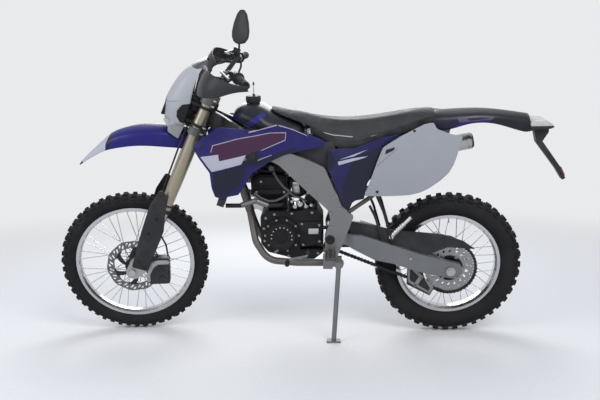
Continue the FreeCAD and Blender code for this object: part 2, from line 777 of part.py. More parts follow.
def arch(half, top, drop, wall):
    """Section of a fender: a flat-topped arch with hanging sides."""
    outer = [(-half, top - drop), (-half * 0.94, top - drop * 0.3), (-half * 0.5, top),
             (half * 0.5, top), (half * 0.94, top - drop * 0.3), (half, top - drop)]
    inner = [(half - wall, top - drop), (half * 0.94 - wall, top - drop * 0.3 - wall / 2),
             (half * 0.5 - wall / 2, top - wall), (-half * 0.5 + wall / 2, top - wall),
             (-half * 0.94 + wall, top - drop * 0.3 - wall / 2), (-half + wall, top - drop)]
    return outer + inner


# forward, top, half-width, drop of the sides
FRONT_FENDER = (
    (-30, -92, 54, 80), (0, -90.6, 58, 88), (60, -96, 62, 88), (144, -118, 80, 90),
    (250, -160, 78, 88), (355, -237, 62, 84), (400, -325, 46, 50), (449, -435, 24, 14),
)
REAR_FENDER = (
    (SEAT_REAR - size("seat_gap"), 1073, 86, 84), (-746, 1079, 92, 76), (-855, 1080, 88, 56),
    (-965, 1073, 76, 62), (-1070, 1061, 60, 74),
)


def fender(name, table):
    """A fender through the stations of a table."""
    stations = [(Placement(Vector(x, 0, 0), FRONT_PLANE), arch(half, top, drop, 5))
                for x, top, half, drop in table]
    return loft(name, stations)


def tail_lamp():
    """Lamp on the rear fender's end."""
    corners = ((-1070.3, 1040), (-1092, 1043), (-1145, 1036, 10), (-1176, 1004, 6),
               (-1172, 985, 4), (-1070.3, 990))
    return plate("tail_lamp", "side", [rounded(corners)], 0, 116)


PLATE_ARM_WIDTH = 40
PLATE_HOLE = 3.3
PLATE_HOLES = (Vector(-1131, 0, 964), Vector(-1229, 0, 775))


def plate_bracket():
    """Arm that hangs down behind, for the licence plate and a reflector."""
    corners = ((-1092, 984.6), (-1162, 984.6), (-1162, 962), (-1138, 922), (-1224, 806),
               (-1252, 752), (-1238, 744), (-1205, 795), (-1112, 915), (-1100, 962))
    arm = plate("plate_arm", "side", [rounded(corners)], 0, PLATE_ARM_WIDTH)
    holes = [cylinder(f"plate_hole_{i}", spot - LEFT * PLATE_ARM_WIDTH, LEFT, PLATE_HOLE,
                      2 * PLATE_ARM_WIDTH) for i, spot in enumerate(PLATE_HOLES)]
    return bored("plate_bracket", arm, *holes)


# Rear end

# x, z from the swingarm's pivot, corner radius
ARM_SIDE = (
    (22, 22, 20), (-86, 15), (-144, 12), (-231, -17), (-407, -79), (-594, -130, 20),
    (-612, -172, 20), (-560, -198, 10), (-410, -166), (-288, -125), (-204, -107), (-72, -36),
    (22, -26, 20),
)


# Front face of the swingarm's brace, behind its pivot
BRACE_FRONT = 109


def swingarm():
    """Two arms, their brace and the pivot tube."""
    inner, thick = size("arm_inside"), size("arm_thickness")
    gap = size("seat_gap")
    plate_face = PLATE_FACE - size("spar_thickness") - gap
    neck = size("chain_out") + size("chain_width") / 2 + 2.5
    band = [(60, neck), (PIVOT.x - 70, neck), (PIVOT.x - 98, inner), (-1000, inner),
            (-1000, inner + thick), (PIVOT.x - 108, inner + thick), (PIVOT.x - 78, plate_face),
            (60, plate_face)]
    side = [(PIVOT.x + p[0], PIVOT.z + p[1], *p[2:]) for p in ARM_SIDE]
    arm = carved("arm", side=side, plan=band)
    brace = doc.addObject("Part::Box", "brace")
    bind(brace, "Length", "brace_length")
    bind(brace, "Width", "2 * arm_inside + 4")
    bind(brace, "Height", "brace_height")
    brace.Placement = Placement(PIVOT + Vector(-BRACE_FRONT - size("brace_length"), -inner - 2,
                                               -60), Rotation())
    pipe = cylinder("pivot_tube", PIVOT - LEFT * plate_face, LEFT, "pivot_radius + 8",
                    2 * plate_face)
    bolt_hole = cylinder("bolt_hole", PIVOT - LEFT * 150, LEFT, "pivot_radius + seat_gap", 300)
    axle_hole = cylinder("axle_hole", REAR_AXLE - LEFT * 150, LEFT,
                         "rear_axle_radius + bearing_gap", 300)
    return bored("swingarm", fused("arms", both("arm_pair", arm, weld=True), brace, pipe),
                 bolt_hole, axle_hole)


def rear_axle():
    """Hollow rear axle with its nut and head."""
    half = size("rear_axle_half")
    rod = cylinder("rear_axle_rod", REAR_AXLE - LEFT * half, LEFT, "rear_axle_radius",
                   "2 * rear_axle_half")
    nuts = both("rear_nuts", cylinder("rear_nut", REAR_AXLE + LEFT * (
        size("arm_inside") + size("arm_thickness") + size("seat_gap")), LEFT,
        "rear_axle_radius + 7", 9), weld=False)
    nuts.Placement = Placement()
    bore = cylinder("rear_axle_bore", REAR_AXLE - LEFT * 200, LEFT, "axle_bore", 400)
    return bored("rear_axle", fused("rear_axle_whole", rod, nuts), bore)


def pitch_radius(teeth):
    """Radius of a sprocket's pitch circle."""
    return size("chain_pitch") / 2 / math.sin(math.pi / size(teeth))


def belt(grow):
    """Closed loop round both sprockets, grown outward from the chain's pitch line."""
    front, rear = Vector(SHAFT.x, SHAFT.z, 0), Vector(REAR_AXLE.x, REAR_AXLE.z, 0)
    small, large = pitch_radius("front_teeth") + grow, pitch_radius("rear_teeth") + grow
    line = (rear - front).normalize()
    across = Vector(-line.y, line.x, 0)
    lean = (small - large) / (rear - front).Length
    high = line * lean + across * math.sqrt(1 - lean**2)
    low = line * lean - across * math.sqrt(1 - lean**2)
    return [Part.LineSegment(front + high * small, rear + high * large),
            Part.Arc(rear + high * large, rear + line * large, rear + low * large),
            Part.LineSegment(rear + low * large, front + low * small),
            Part.Arc(front + low * small, front - line * small, front + high * small)]


def chain():
    """Drive chain: two rows of plates with the rollers between them."""
    tall = size("chain_height") / 2
    row = plate("chain_row", "side", [belt(tall), belt(-tall)],
                "chain_out + (chain_width + chain_slot) / 4", "(chain_width - chain_slot) / 2")
    other = plate("chain_other_row", "side", [belt(tall), belt(-tall)],
                  "chain_out - (chain_width + chain_slot) / 4", "(chain_width - chain_slot) / 2")
    thick = size("roller_radius")
    rollers = plate("chain_rollers", "side", [belt(thick), belt(-thick)], "chain_out",
                    "chain_slot + 2")
    return fused("chain", row, other, rollers)


def sprocket(name, teeth, centre, hub):
    """A toothed wheel whose tips stay just under the chain's rollers."""
    tip = pitch_radius(teeth) - size("roller_radius") - 0.5
    root = tip - 6
    count = int(size(teeth))
    corners = []
    for i in range(count):
        for radius, share in ((root, -0.3), (tip, -0.12), (tip, 0.12), (root, 0.3)):
            angle = 2 * math.pi * (i + share) / count
            corners.append((centre.x + radius * math.cos(angle),
                            centre.z + radius * math.sin(angle)))
    return plate(name, "side", [rounded(corners), circle(centre.x, centre.z, hub)], "chain_out",
                 "sprocket_thickness")


def chain_guards():
    """Cover over the chain's upper run, and the guide that holds its lower run."""
    arm_top = [(x, level([(PIVOT.x + p[0], PIVOT.z + p[1]) for p in ARM_SIDE[1:6]], x)
                + size("seat_gap")) for x in (-640, -600, -424, -337, -285)]
    guard = carved("upper_guard", side=(
        (-285, 552), (-300, 572), (-391, 555), (-479, 531), (-702, 509), (-800, 476), (-852, 439),
        (-730, 448), *arm_top),
        plan=((-200, 82), (-900, 82), (-900, 92), (-200, 92)))
    face = size("arm_inside") - size("seat_gap")
    guide = carved("lower_guide", side=((-552, 366), (-549, 262), (-655, 206), (-678, 250),
                                        (-640, 300), (-578, 366)),
                   plan=((-500, 57), (-700, 57), (-700, face), (-500, face)))
    run = plate("guide_run", "side", [belt(12), belt(-12)], "chain_out", "chain_width + 5")
    room = cylinder("sprocket_room", REAR_AXLE, LEFT, 122, 100)
    pair = doc.addObject("Part::Compound", "chain_guards")
    pair.Links = [guard, bored("guide", guide, run, room)]
    return pair


def rear_caliper():
    """Rear brake caliper on the right arm."""
    corners = about(REAR_AXLE, ((22, 64), (88, 42), (106, 92), (38, 128)))
    middle = (size("arm_inside") - size("seat_gap") + 52) / 2
    block = plate("rear_caliper_block", "side", [rounded(corners)], -middle,
                  2 * (size("arm_inside") - size("seat_gap") - middle))
    slot = cylinder("rear_caliper_slot", REAR_AXLE - LEFT * (size("rear_disc_out") + 4), LEFT,
                    "rear_disc_radius + 3", 8)
    return bored("rear_caliper", block, slot)


def rear_shock():
    """Spring and damper between the frame's upper cross tube and the linkage."""
    top, bottom = CROSS_TUBE, Vector(-258, 0, 470)
    line = (bottom - top).normalize()
    reach = CROSS_RADIUS + size("seat_gap")
    rod = cylinder("shock_rod", top + line * reach, line, 12, (bottom - top).Length - reach)
    spring = cylinder("spring", top + line * 76, line, 30, 210)
    eye = cylinder("shock_eye", bottom - LEFT * 24, LEFT, 14, 48)
    damper = fused("rear_shock_body", rod, spring, eye)
    rear = PIVOT.x - BRACE_FRONT + size("seat_gap")
    corners = ((-242, 486), (-272, 486), (rear, 476), (rear, 446), (-290, 425), (-240, 425),
               (-228, 452))
    link = plate("link", "side", [rounded(corners)], 28, 7)
    whole = doc.addObject("Part::Compound", "rear_shock")
    whole.Links = [damper, both("links", link)]
    return whole


def rear_stays():
    """Rods on each side between the seat's struts and the swingarm, and a silver stay."""
    first = tube("first_stay", ((-372, 104, 652), (-398, 104, 600, 200), (-430, 104, 486)), 6)
    second = tube("second_stay", ((-400, 104, 706), (-436, 104, 620, 200), (-478, 104, 469)), 6)
    stays = fused("stays", first, second)
    return both("rear_stays", stays)


def foot_levers():
    """Gear lever on the left, brake pedal on the right."""
    face = size("case_half") + size("seat_gap")
    # x, y, z, bend radius
    gear = tube("gear_lever", ((-90, face, 428), (-90, 148, 428, 12), (-4, 156, 414, 14),
                               (0, 196, 404)), 6)
    brake = tube("brake_pedal", ((-120, -face, 420), (-120, -150, 420, 12), (-10, -158, 412, 14),
                                 (0, -196, 408)), 6)
    pair = doc.addObject("Part::Compound", "foot_levers")
    pair.Links = [gear, brake]
    return pair


def footpegs():
    """Footpegs on the pivot plates."""
    peg = doc.addObject("Part::Box", "peg")
    bind(peg, "Length", "peg_width")
    bind(peg, "Width", "peg_length")
    bind(peg, "Height", "peg_height")
    peg.Placement = Placement(Vector(-221, PLATE_FACE + size("seat_gap"), 441), Rotation())
    return both("footpegs", peg)


# Fork and steering, in the fork's own frame

def fork_tubes():
    """Outer tubes of the upside-down fork."""
    top, low = size("fork_top_radius"), size("fork_radius")
    end, bore = size("fork_end_radius"), size("leg_radius") + size("seat_gap")
    bottom = size("fork_end")
    profile = ((0, 98), (top, 98), (top, 30), (low, -40), (low, -300), (end, -440),
               (end, bottom), (bore, bottom), (bore, bottom + 100), (0, bottom + 100))
    return both("fork_tubes", spun_leg("fork_tube", profile))


def spun_leg(name, profile):
    """A turned piece about the left fork leg's line; profile of (radius, up)."""
    body = doc.addObject("PartDesign::Body", name)
    spin = body.newObject("PartDesign::Revolution", name + "_spin")
    drawing = body_sketch(body, name + "_outline", "side", [rounded(profile)])
    spin.Profile = drawing
    spin.ReferenceAxis = (drawing, ["V_Axis"])
    spin.Angle = 360
    body.Placement = Placement(Vector(size("fork_ahead"), size("fork_spread"), 0), Rotation())
    return body


def fork_legs():
    """Inner tubes, each in a casting that clamps the front axle."""
    bottom = FRONT_AXLE.z + 40
    top = size("fork_end") + 100 - size("seat_gap")
    start = Vector(size("fork_ahead"), size("fork_spread"), bottom)
    inner = cylinder("inner_tube", start, UP, "leg_radius", top - bottom)
    corners = about(FRONT_AXLE, ((-60, 100, 6), (-4, 100, 10), (27, 26, 24), (28, -30, 28),
                                 (-28, -30, 28), (-60, 30, 20)))
    foot = plate("fork_foot", "side", [rounded(corners)], "fork_spread", "foot_width")
    hole = cylinder("foot_hole", FRONT_AXLE, LEFT, "front_axle_radius + bearing_gap", 200)
    return both("fork_legs", bored("fork_leg", fused("leg_and_foot", inner, foot), hole))


def fork_guards():
    """Plastic shields round the outside and front of the inner tubes."""
    side = ((30, -400), (60, -382), (76, -386, 12), (92, -470, 30), (84, -600), (64, -786, 8),
            (-12, -778, 8), (-10, -563), (8, -500))
    face = size("fork_spread") + size("foot_width") / 2 + size("seat_gap")
    wall = size("guard_wall")
    line = ((-20, face + wall), (84, face + wall), (98, face - 12), (99, face - 34), (99, 70))
    return both("fork_guards", carved("fork_guard", side=side, plan=strip(line, wall)))


def clamp(name, middle, tube_radius):
    """A triple clamp: a plate with an eye round each fork tube."""
    ahead, out = size("fork_ahead"), size("fork_spread")
    wide = tube_radius + size("clamp_wall")
    eyes = []
    for sign in (1, -1):
        eyes.append(cylinder(f"{name}_eye_{sign + 1}", Vector(
            ahead, sign * out, middle - size("clamp_thickness") / 2), UP, wide, "clamp_thickness"))
    corners = ((-26, 26, 12), (-26, -26, 12), (0, -out, 10), (ahead + 24, -out, 10),
               (ahead + 24, out, 10), (0, out, 10))
    web = plate(name + "_web", "plan", [rounded(corners)], middle, "clamp_thickness")
    return fused(name, web, *eyes)


def triple_clamps():
    """Upper clamp with the handlebar's clamps, and lower clamp with the steering stem."""
    half = size("head_length") / 2 + size("seat_gap") + size("clamp_thickness") / 2
    gap = size("seat_gap")
    out, ahead = size("fork_spread"), size("fork_ahead")
    low = clamp("lower_clamp", -half, size("fork_radius"))
    stem = cylinder("stem", Vector(0, 0, -half), UP, "stem_radius", 2 * half - 16 - gap)
    low_holes = [cylinder(f"low_hole_{i}", Vector(ahead, y, -half - 40), UP,
                          "fork_radius + seat_gap", 80) for i, y in enumerate((-out, out))]
    high = clamp("upper_clamp", half, size("fork_top_radius"))
    posts = [plate(f"bar_post_{i}", "side", [rounded(((-18, half), (18, half), (18, 160, 12),
                                                      (-18, 160, 12)))], y, 24)
             for i, y in enumerate((-40, 40))]
    high_holes = [cylinder(f"high_hole_{i}", Vector(ahead, y, half - 40), UP,
                           "fork_top_radius + seat_gap", 80) for i, y in enumerate((-out, out))]
    bar_hole = cylinder("bar_hole", Vector(0, -70, 142), LEFT, "bar_radius + seat_gap", 140)
    pair = doc.addObject("Part::Compound", "triple_clamps")
    pair.Links = [bored("low_part", fused("low_whole", low, stem), *low_holes),
                  bored("high_part", fused("high_whole", high, *posts), *high_holes, bar_hole)]
    return pair


def front_axle():
    """Front axle with its nut and head."""
    face = size("fork_spread") + size("foot_width") / 2 + size("seat_gap")
    half = face + 6
    rod = cylinder("front_axle_rod", FRONT_AXLE - LEFT * half, LEFT, "front_axle_radius",
                   2 * half)
    nut = cylinder("front_nut", FRONT_AXLE + LEFT * face, LEFT, "front_axle_radius + 5", 7)
    return fused("front_axle", rod, both("front_nuts", nut))


def front_caliper():
    """Front brake caliper behind the left fork leg."""
    corners = ((-8.3, -745), (-30, -722, 10), (-84, -704, 14), (-134, -826, 14), (-44, -866, 14),
               (-8.3, -800))
    block = plate("caliper_block", "side", [rounded(corners)], "front_disc_out + 2", 38)
    slot = cylinder("caliper_slot", FRONT_AXLE + LEFT * (size("front_disc_out") - 4), LEFT,
                    "front_disc_radius + 3", 8)
    return bored("front_caliper", block, slot)


def brake_hose():
    """Front brake hose, from the right lever down the fork to the caliper."""
    # forward, out, up, bend radius
    return tube("brake_hose", (
        (-24, -249.3, 241.6), (-16.5, -217.5, 240, 40), (58, -150, 180, 60), (57, -60, 104, 60),
        (57, 0, 56, 60), (58, 58, -24, 60), (68, 86, -80, 40), (68, 94, -170, 80),
        (64, 94, -320, 120), (58, 84, -440, 90), (36, 66, -540, 100), (0, 61, -610, 70),
        (-46, 60, -652, 40), (-76, 60, -703.5)), 4)


# forward, out, up, bend radius of the left half
BAR_ROUTE = ((-78, 410, 250), (-32, 215, 240, 50), (0, 80, 142, 50))


def handlebar():
    """Handlebar in one bent tube."""
    right = [(n, -y, w, *r) for n, y, w, *r in reversed(BAR_ROUTE)]
    return tube("handlebar", (*BAR_ROUTE, *right), "bar_radius")


def bar_spot(out):
    """A point on the handlebar's outer stretch, and the direction outward there."""
    end, bend = Vector(*BAR_ROUTE[0]), Vector(*BAR_ROUTE[1][:3])
    share = (out - bend.y) / (end.y - bend.y)
    return bend + (end - bend) * share, (end - bend).normalize()


def grips():
    """Rubber grips."""
    spot, along = bar_spot(284)
    grip = cylinder("grip", spot, along, "grip_radius", "grip_length")
    hole = cylinder("grip_hole", spot - along * 5, along, "bar_radius + bearing_gap", 135)
    return both("grips", bored("grip_sleeve", grip, hole))


def hand_controls():
    """Lever perches and levers."""
    spot, along = bar_spot(246)
    ring = cylinder("perch", spot, along, "bar_radius + 9", 24)
    hole = cylinder("perch_hole", spot - along * 5, along, "bar_radius + seat_gap", 60)
    lever = tube("lever", ((-40, 256, 252), (-6, 256, 246, 12), (26, 276, 240, 14),
                           (-8, 408, 246)), 5)
    return both("hand_controls", bored("perch_and_lever", fused("perch_whole", ring, lever), hole))


def handguards():
    """Plastic shields in front of the levers."""
    side = ((94, 168), (86, 226, 14), (46, 241, 20), (2, 225, 20), (-23, 196, 20), (28, 142, 20))
    line = ((60, 176), (84, 215), (93, 270), (90, 340), (66, 405), (16, 436))
    shell = carved("guard_shell", side=side, plan=strip(line, 4))
    spot, along = bar_spot(236)
    line = Vector(1, 0, -0.35).normalize()
    radius = 6
    below = along.cross(line).normalize() * (size("bar_radius") + radius + size("seat_gap"))
    arm = cylinder("guard_arm", spot + below - line * 8, line, radius, 147)
    return both("handguards", fused("handguard", shell, arm))


def mirror():
    """Left mirror on its stem."""
    stem = tube("mirror_stem", ((-42, 260, 262.9), (-42, 260, 286, 20), (-20, 300, 320, 30),
                                 (22, 332, 400)), 4)
    head = plate("mirror_head", "front", [rounded(((312, 378, 8), (344, 384, 12), (366, 440, 24),
                                                   (352, 500, 14), (322, 496, 14),
                                                   (306, 430, 30)))], 22, 16)
    return fused("mirror", stem, head)


# up, front edge, rear edge, half-width of the headlamp mask
MASK_STATIONS = (
    (228, 96, 84, 52), (175, 147, 102, 84), (112, 181, 104, 108), (0, 199, 86, 112),
    (-24, 196, 84, 108), (-96, 169, 84, 84), (-139, 118, 80, 50),
)


def headlamp_mask():
    """White mask round the headlamp, open behind."""
    wall = 4
    stations = []
    for up, front, rear, half in MASK_STATIONS:
        turn = front - (front - rear) * 0.45
        outer = [(rear, half), (turn, half * 0.97), (front, half * 0.5)]
        inner = [(rear, half - wall), (turn - wall, half * 0.97 - wall),
                 (front - wall, half * 0.5 - wall / 2)]
        corners = (outer + [(x, -y) for x, y in reversed(outer)]
                   + [(x, -y) for x, y in inner] + inner[::-1])
        stations.append((Placement(Vector(0, 0, up), Rotation()), corners))
    hole = cylinder("lens_hole", Vector(120, 0, -20), Vector(1, 0, 0), 65, 100)
    below = slab("fender_room", "side", [rounded(((0, -85), (60, -90), (144, -112), (250, -154),
                                                  (250, -400), (0, -400)))])
    return bored("headlamp_mask", loft("mask_shell", stations), hole, below)


def headlamp():
    """Lamp bucket and lens."""
    bucket = cylinder("bucket", Vector(68, 0, -20), Vector(1, 0, 0), 50, 82)
    lens = cylinder("lens", Vector(148, 0, -20), Vector(1, 0, 0), 64.7, 44)
    return fused("headlamp", bucket, lens)


def mask_straps():
    """Straps that hold the mask to the fork tubes."""
    out, ahead = size("fork_spread"), size("fork_ahead")
    straps = []
    for i, (up, tube_radius, arm_out) in enumerate(((34, "fork_top_radius", 99.3),
                                                    (-50, "fork_radius", 87.9))):
        ring = cylinder(f"strap_{i}", Vector(ahead, out, up), UP, f"{tube_radius} + 5", 12)
        arm = doc.addObject("Part::Box", f"strap_arm_{i}")
        arm.Length = 74
        arm.Width = 5
        arm.Height = 12
        arm.Placement = Placement(Vector(ahead + 24, arm_out, up), Rotation())
        hole = cylinder(f"strap_hole_{i}", Vector(ahead, out, up - 10), UP,
                        f"{tube_radius} + seat_gap", 40)
        straps.append(bored(f"strap_whole_{i}", fused(f"strap_part_{i}", ring, arm), hole))
    pair = doc.addObject("Part::Compound", "left_straps")
    pair.Links = straps
    return both("mask_straps", pair)


# Wheels, about their axles

def ring(radius):
    """Corners of a regular polygon with a side under each knob."""
    count = int(size("knob_count"))
    angles = [2 * math.pi * (i + 0.5) / count for i in range(count)]
    return [(radius * math.cos(angle), radius * math.sin(angle)) for angle in angles]


def tyre(name, wheel):
    """A tyre on the rim's bead seats: a carcass in flat facets, with three rows of knobs."""
    half, rim, gap = size(f"{wheel}_half"), size(f"{wheel}_rim_radius"), size("seat_gap")
    bead_half = size(f"{wheel}_rim_half") - size("rim_wall") - gap
    bead = rim - size("rim_depth") + size("rim_wall") + gap
    tread = size(f"{wheel}_radius") - size("knob_height")
    (_, middle_half, _), (out, side_half, drop) = KNOB_ROWS[wheel]
    # out from the middle, radius
    profile = [(bead_half, rim + 4), (half - 5, (rim + tread) / 2), (half - 8, tread - drop + 3),
               (middle_half + 1, tread)]
    profile += [(-out, radius) for out, radius in reversed(profile)]
    carcass = loft(name + "_carcass", [
        (Placement(Vector(0, out, 0), VIEWS["side"][1]), ring(radius)) for out, radius in profile])
    pieces = [carcass]
    for row, (middle, width, low) in enumerate((
            (0, middle_half, 0), (out, side_half, drop), (-out, side_half, drop))):
        outlines = [rounded(knob) for knob in knob_corners(wheel, low)]
        knobs = slab(f"{name}_knobs_{row}", "side", outlines, 2 * width)
        knobs.Placement = Placement(Vector(0, middle, 0), Rotation())
        pieces.append(knobs)
    flat = bead / math.cos(math.pi / size("knob_count"))
    hole = slab(name + "_hole", "side", [rounded(ring(flat))], 4 * half)
    return bored(name, fused(name + "_whole", *pieces), hole)


def rim_outline(wheel):
    """Section of a rim: a channel with two flanges."""
    edge, half = size(f"{wheel}_rim_radius"), size(f"{wheel}_rim_half")
    wall, seat = size("rim_wall"), size(f"{wheel}_rim_radius") - size("rim_depth")
    well = seat - 8
    outer = [(-half, edge), (-half, seat), (-half / 2, well), (half / 2, well), (half, seat),
             (half, edge)]
    inner = [(half - wall, edge), (half - wall, seat + wall), (half / 2 - wall, well + wall),
             (wall - half / 2, well + wall), (wall - half, seat + wall), (wall - half, edge)]
    return outer + inner


def spokes(wheel, flange, flange_out):
    """Crossed spokes between the hub's flanges and the rim."""
    count = int(size("spoke_count"))
    well = size(f"{wheel}_rim_radius") - size("rim_depth") - 7
    rods = []
    for i in range(count):
        side = 1 if i % 2 else -1
        forward = 1 if (i // 2) % 2 else -1
        angle = 2 * math.pi * i / count
        seat = angle + forward * math.radians(62)
        start = Vector(flange * math.cos(seat), side * (flange_out + 2.2 * forward),
                       flange * math.sin(seat))
        end = Vector(well * math.cos(angle), side * 5, well * math.sin(angle))
        rods.append(cylinder(f"{wheel}_spoke_{i}", start, end - start, "spoke_radius",
                             (end - start).Length))
    return rods


def front_wheel():
    """Front rim, spokes and hub."""
    end = size("fork_spread") - size("foot_width") / 2 - size("seat_gap")
    hole = size("front_axle_radius") + size("bearing_gap")
    barrel, flange, out = size("hub_radius"), size("flange_radius"), size("front_flange_out")
    disc = size("front_disc_out") - size("disc_thickness") / 2
    outline = ((-end, hole), (-end, 18), (-out - 14, 18), (-out - 14, barrel), (-out - 4, barrel),
               (-out - 4, flange + 5), (4 - out, flange + 5), (4 - out, barrel - 4),
               (out - 4, barrel - 4), (out - 4, flange + 5), (out + 4, flange + 5),
               (out + 4, barrel), (disc - 6, barrel), (disc - 6, 40), (disc, 40), (disc, 18),
               (end, 18), (end, hole))
    hub = turned("front_hub", [rounded(outline)])
    rim = turned("front_rim", [rounded(rim_outline("front"))])
    return fused("front_wheel", rim, hub, *spokes("front", flange, out))


def rear_wheel():
    """Rear rim, spokes and hub, with the seats of the sprocket and the brake disc."""
    end = size("arm_inside") - size("seat_gap")
    hole = size("rear_axle_radius") + size("bearing_gap")
    barrel, flange, out = size("hub_radius"), size("rear_flange_radius"), size("rear_flange_out")
    disc = size("rear_disc_out") - size("disc_thickness") / 2
    cog = size("chain_out") - size("sprocket_thickness") / 2
    outline = ((-end, hole), (-end, 18), (-disc, 18), (-disc, 40), (6 - disc, 40),
               (6 - disc, barrel), (-out - 4, barrel), (-out - 4, flange + 5), (4 - out, flange + 5),
               (4 - out, barrel - 2), (out - 4, barrel - 2), (out - 4, flange + 5),
               (out + 4, flange + 5), (out + 4, barrel), (cog - 7, barrel), (cog - 7, 62),
               (cog, 62), (cog, 18), (end, 18), (end, hole))
    hub = turned("rear_hub", [rounded(outline)])
    rim = turned("rear_rim", [rounded(rim_outline("rear"))])
    return fused("rear_wheel", rim, hub, *spokes("rear", flange, out))


def brake_disc(name, wheel, out):
    """A brake disc: a wavy rubbing band with slots, and arms to its hub."""
    outer = size(f"{wheel}_disc_radius")
    inner = outer - size("disc_band")
    lobes = 10
    rim = []
    for i in range(2 * lobes):
        angles = [math.pi * (i + share) / lobes for share in (0, 0.5, 1)]
        reach = outer if i % 2 else outer - 6
        radii = (outer - 3, reach, outer - 3)
        spots = [Vector(r * math.cos(a), r * math.sin(a), 0) for r, a in zip(radii, angles)]
        rim.append(Part.Arc(*spots))
    windows = []
    for i in range(6):
        middle = math.pi * (i + 0.5) / 3
        corners = []
        for radius, share in ((inner, -0.36), (inner, 0.36), (46, 0.24), (46, -0.24)):
            corners.append((radius * math.cos(middle + share), radius * math.sin(middle + share), 6))
        windows.append(rounded(corners))
    return plate(name, "side", [rim, circle(0, 0, 18.3), *windows], out, "disc_thickness")


# Side stand, in the bike's frame

def slab_below_ground():
    """What lies under the ground, which trims the leg's lower end."""
    deep = doc.addObject("Part::Box", "under_ground")
    deep.Length = 400
    deep.Width = 400
    deep.Height = 60
    flat = PARKED.Rotation.inverted()
    deep.Placement = Placement(FOOT_GROUND + flat.multVec(Vector(-200, -200, -60)), flat)
    return deep


def side_stand():
    """Leg from its eye on the frame down to a foot plate on the ground."""
    eye_half = size("stand_eye_width") / 2
    eye = cylinder("stand_eye", STAND_PIVOT - STAND_AXIS * eye_half, STAND_AXIS,
                   "stand_eye_radius", "stand_eye_width")
    ground_up = PARKED.Rotation.inverted().multVec(UP)
    ankle = FOOT_GROUND + ground_up * 5
    leg = cylinder("stand_leg", STAND_PIVOT + STAND_DOWN * 10, ankle - STAND_PIVOT,
                   "stand_radius", (ankle - STAND_PIVOT).Length - 10)
    foot = doc.addObject("Part::Box", "stand_foot")
    foot.Length = 62
    foot.Width = 44
    foot.Height = 8
    flat = PARKED.Rotation.inverted()
    foot.Placement = Placement(FOOT_GROUND - flat.multVec(Vector(31, 22, 0)), flat)
    pin = cylinder("stand_pin", STAND_PIVOT - STAND_AXIS * 40, STAND_AXIS, "stand_pin_radius", 40)
    below = slab_below_ground()
    return bored("side_stand", fused("stand_whole", eye, leg, foot, pin), below)


def finish():
    """Builds every piece, checks it and writes it out."""
    for name, piece, place in (
            ("main_frame", main_frame, CHASSIS),
            ("cradle", cradle, CHASSIS),
            ("subframe", subframe, CHASSIS),
            ("pivot_caps", pivot_caps, CHASSIS),
            ("crankcase", crankcase, CHASSIS),
            ("engine_cylinder", cylinder_block, CHASSIS),
            ("engine_head", cylinder_head, CHASSIS),
            ("engine_covers", engine_covers, CHASSIS),
            ("exhaust_pipe", exhaust_pipe, CHASSIS),
            ("silencer", silencer, CHASSIS),
            ("radiators", radiators, CHASSIS),
            ("coolant_hose", coolant_hose, CHASSIS),
            ("carburettor", carburettor, CHASSIS),
            ("fuel_tank", fuel_tank, CHASSIS),
            ("tank_cap", tank_cap, CHASSIS),
            ("seat", seat, CHASSIS),
            ("tail_lamp", tail_lamp, CHASSIS),
            ("plate_bracket", plate_bracket, CHASSIS),
            ("swingarm", swingarm, CHASSIS),
            ("rear_axle", rear_axle, CHASSIS),
            ("chain", chain, CHASSIS),
            ("chain_guards", chain_guards, CHASSIS),
            ("rear_caliper", rear_caliper, CHASSIS),
            ("rear_shock", rear_shock, CHASSIS),
            ("rear_stays", rear_stays, CHASSIS),
            ("foot_levers", foot_levers, CHASSIS),
            ("footpegs", footpegs, CHASSIS),
            ("fork_tubes", fork_tubes, STEERING),
            ("fork_legs", fork_legs, STEERING),
            ("fork_guards", fork_guards, STEERING),
            ("triple_clamps", triple_clamps, STEERING),
            ("front_axle", front_axle, STEERING),
            ("front_caliper", front_caliper, STEERING),
            ("brake_hose", brake_hose, STEERING),
            ("handlebar", handlebar, STEERING),
            ("grips", grips, STEERING),
            ("hand_controls", hand_controls, STEERING),
            ("handguards", handguards, STEERING),
            ("mirror", mirror, STEERING),
            ("headlamp_mask", headlamp_mask, STEERING),
            ("headlamp", headlamp, STEERING),
            ("mask_straps", mask_straps, STEERING),
            ("front_wheel", front_wheel, FRONT_WHEEL),
            ("rear_wheel", rear_wheel, REAR_WHEEL),
            ("side_stand", side_stand, CHASSIS)):
        node(name, piece(), place)
    node("shrouds", side_skin("shrouds", SHROUD_SIDE, SHROUD_PLAN), CHASSIS)
    node("side_panels", side_skin("side_panels", PANEL_SIDE, PANEL_PLAN), CHASSIS)
    node("number_plates", side_skin("number_plates", PLATE_SIDE, PLATE_PLAN), CHASSIS)
    node("rear_fender", fender("rear_fender", REAR_FENDER), CHASSIS)
    node("front_fender", fender("front_fender", FRONT_FENDER), STEERING)
    node("front_sprocket", sprocket("front_sprocket", "front_teeth", SHAFT,
                                    SHAFT_RADIUS + size("seat_gap")), CHASSIS)
    node("rear_sprocket", sprocket("rear_sprocket", "rear_teeth", Vector(), 18.3), REAR_WHEEL)
    node("front_tyre", tyre("front_tyre", "front"), FRONT_WHEEL)
    node("rear_tyre", tyre("rear_tyre", "rear"), REAR_WHEEL)
    node("front_disc", brake_disc("front_disc", "front", "front_disc_out"), FRONT_WHEEL)
    node("rear_disc", brake_disc("rear_disc", "rear", "-rear_disc_out"), REAR_WHEEL)
    doc.recompute()
    shift = centre_on_ground()
    write_parts()
    return shift


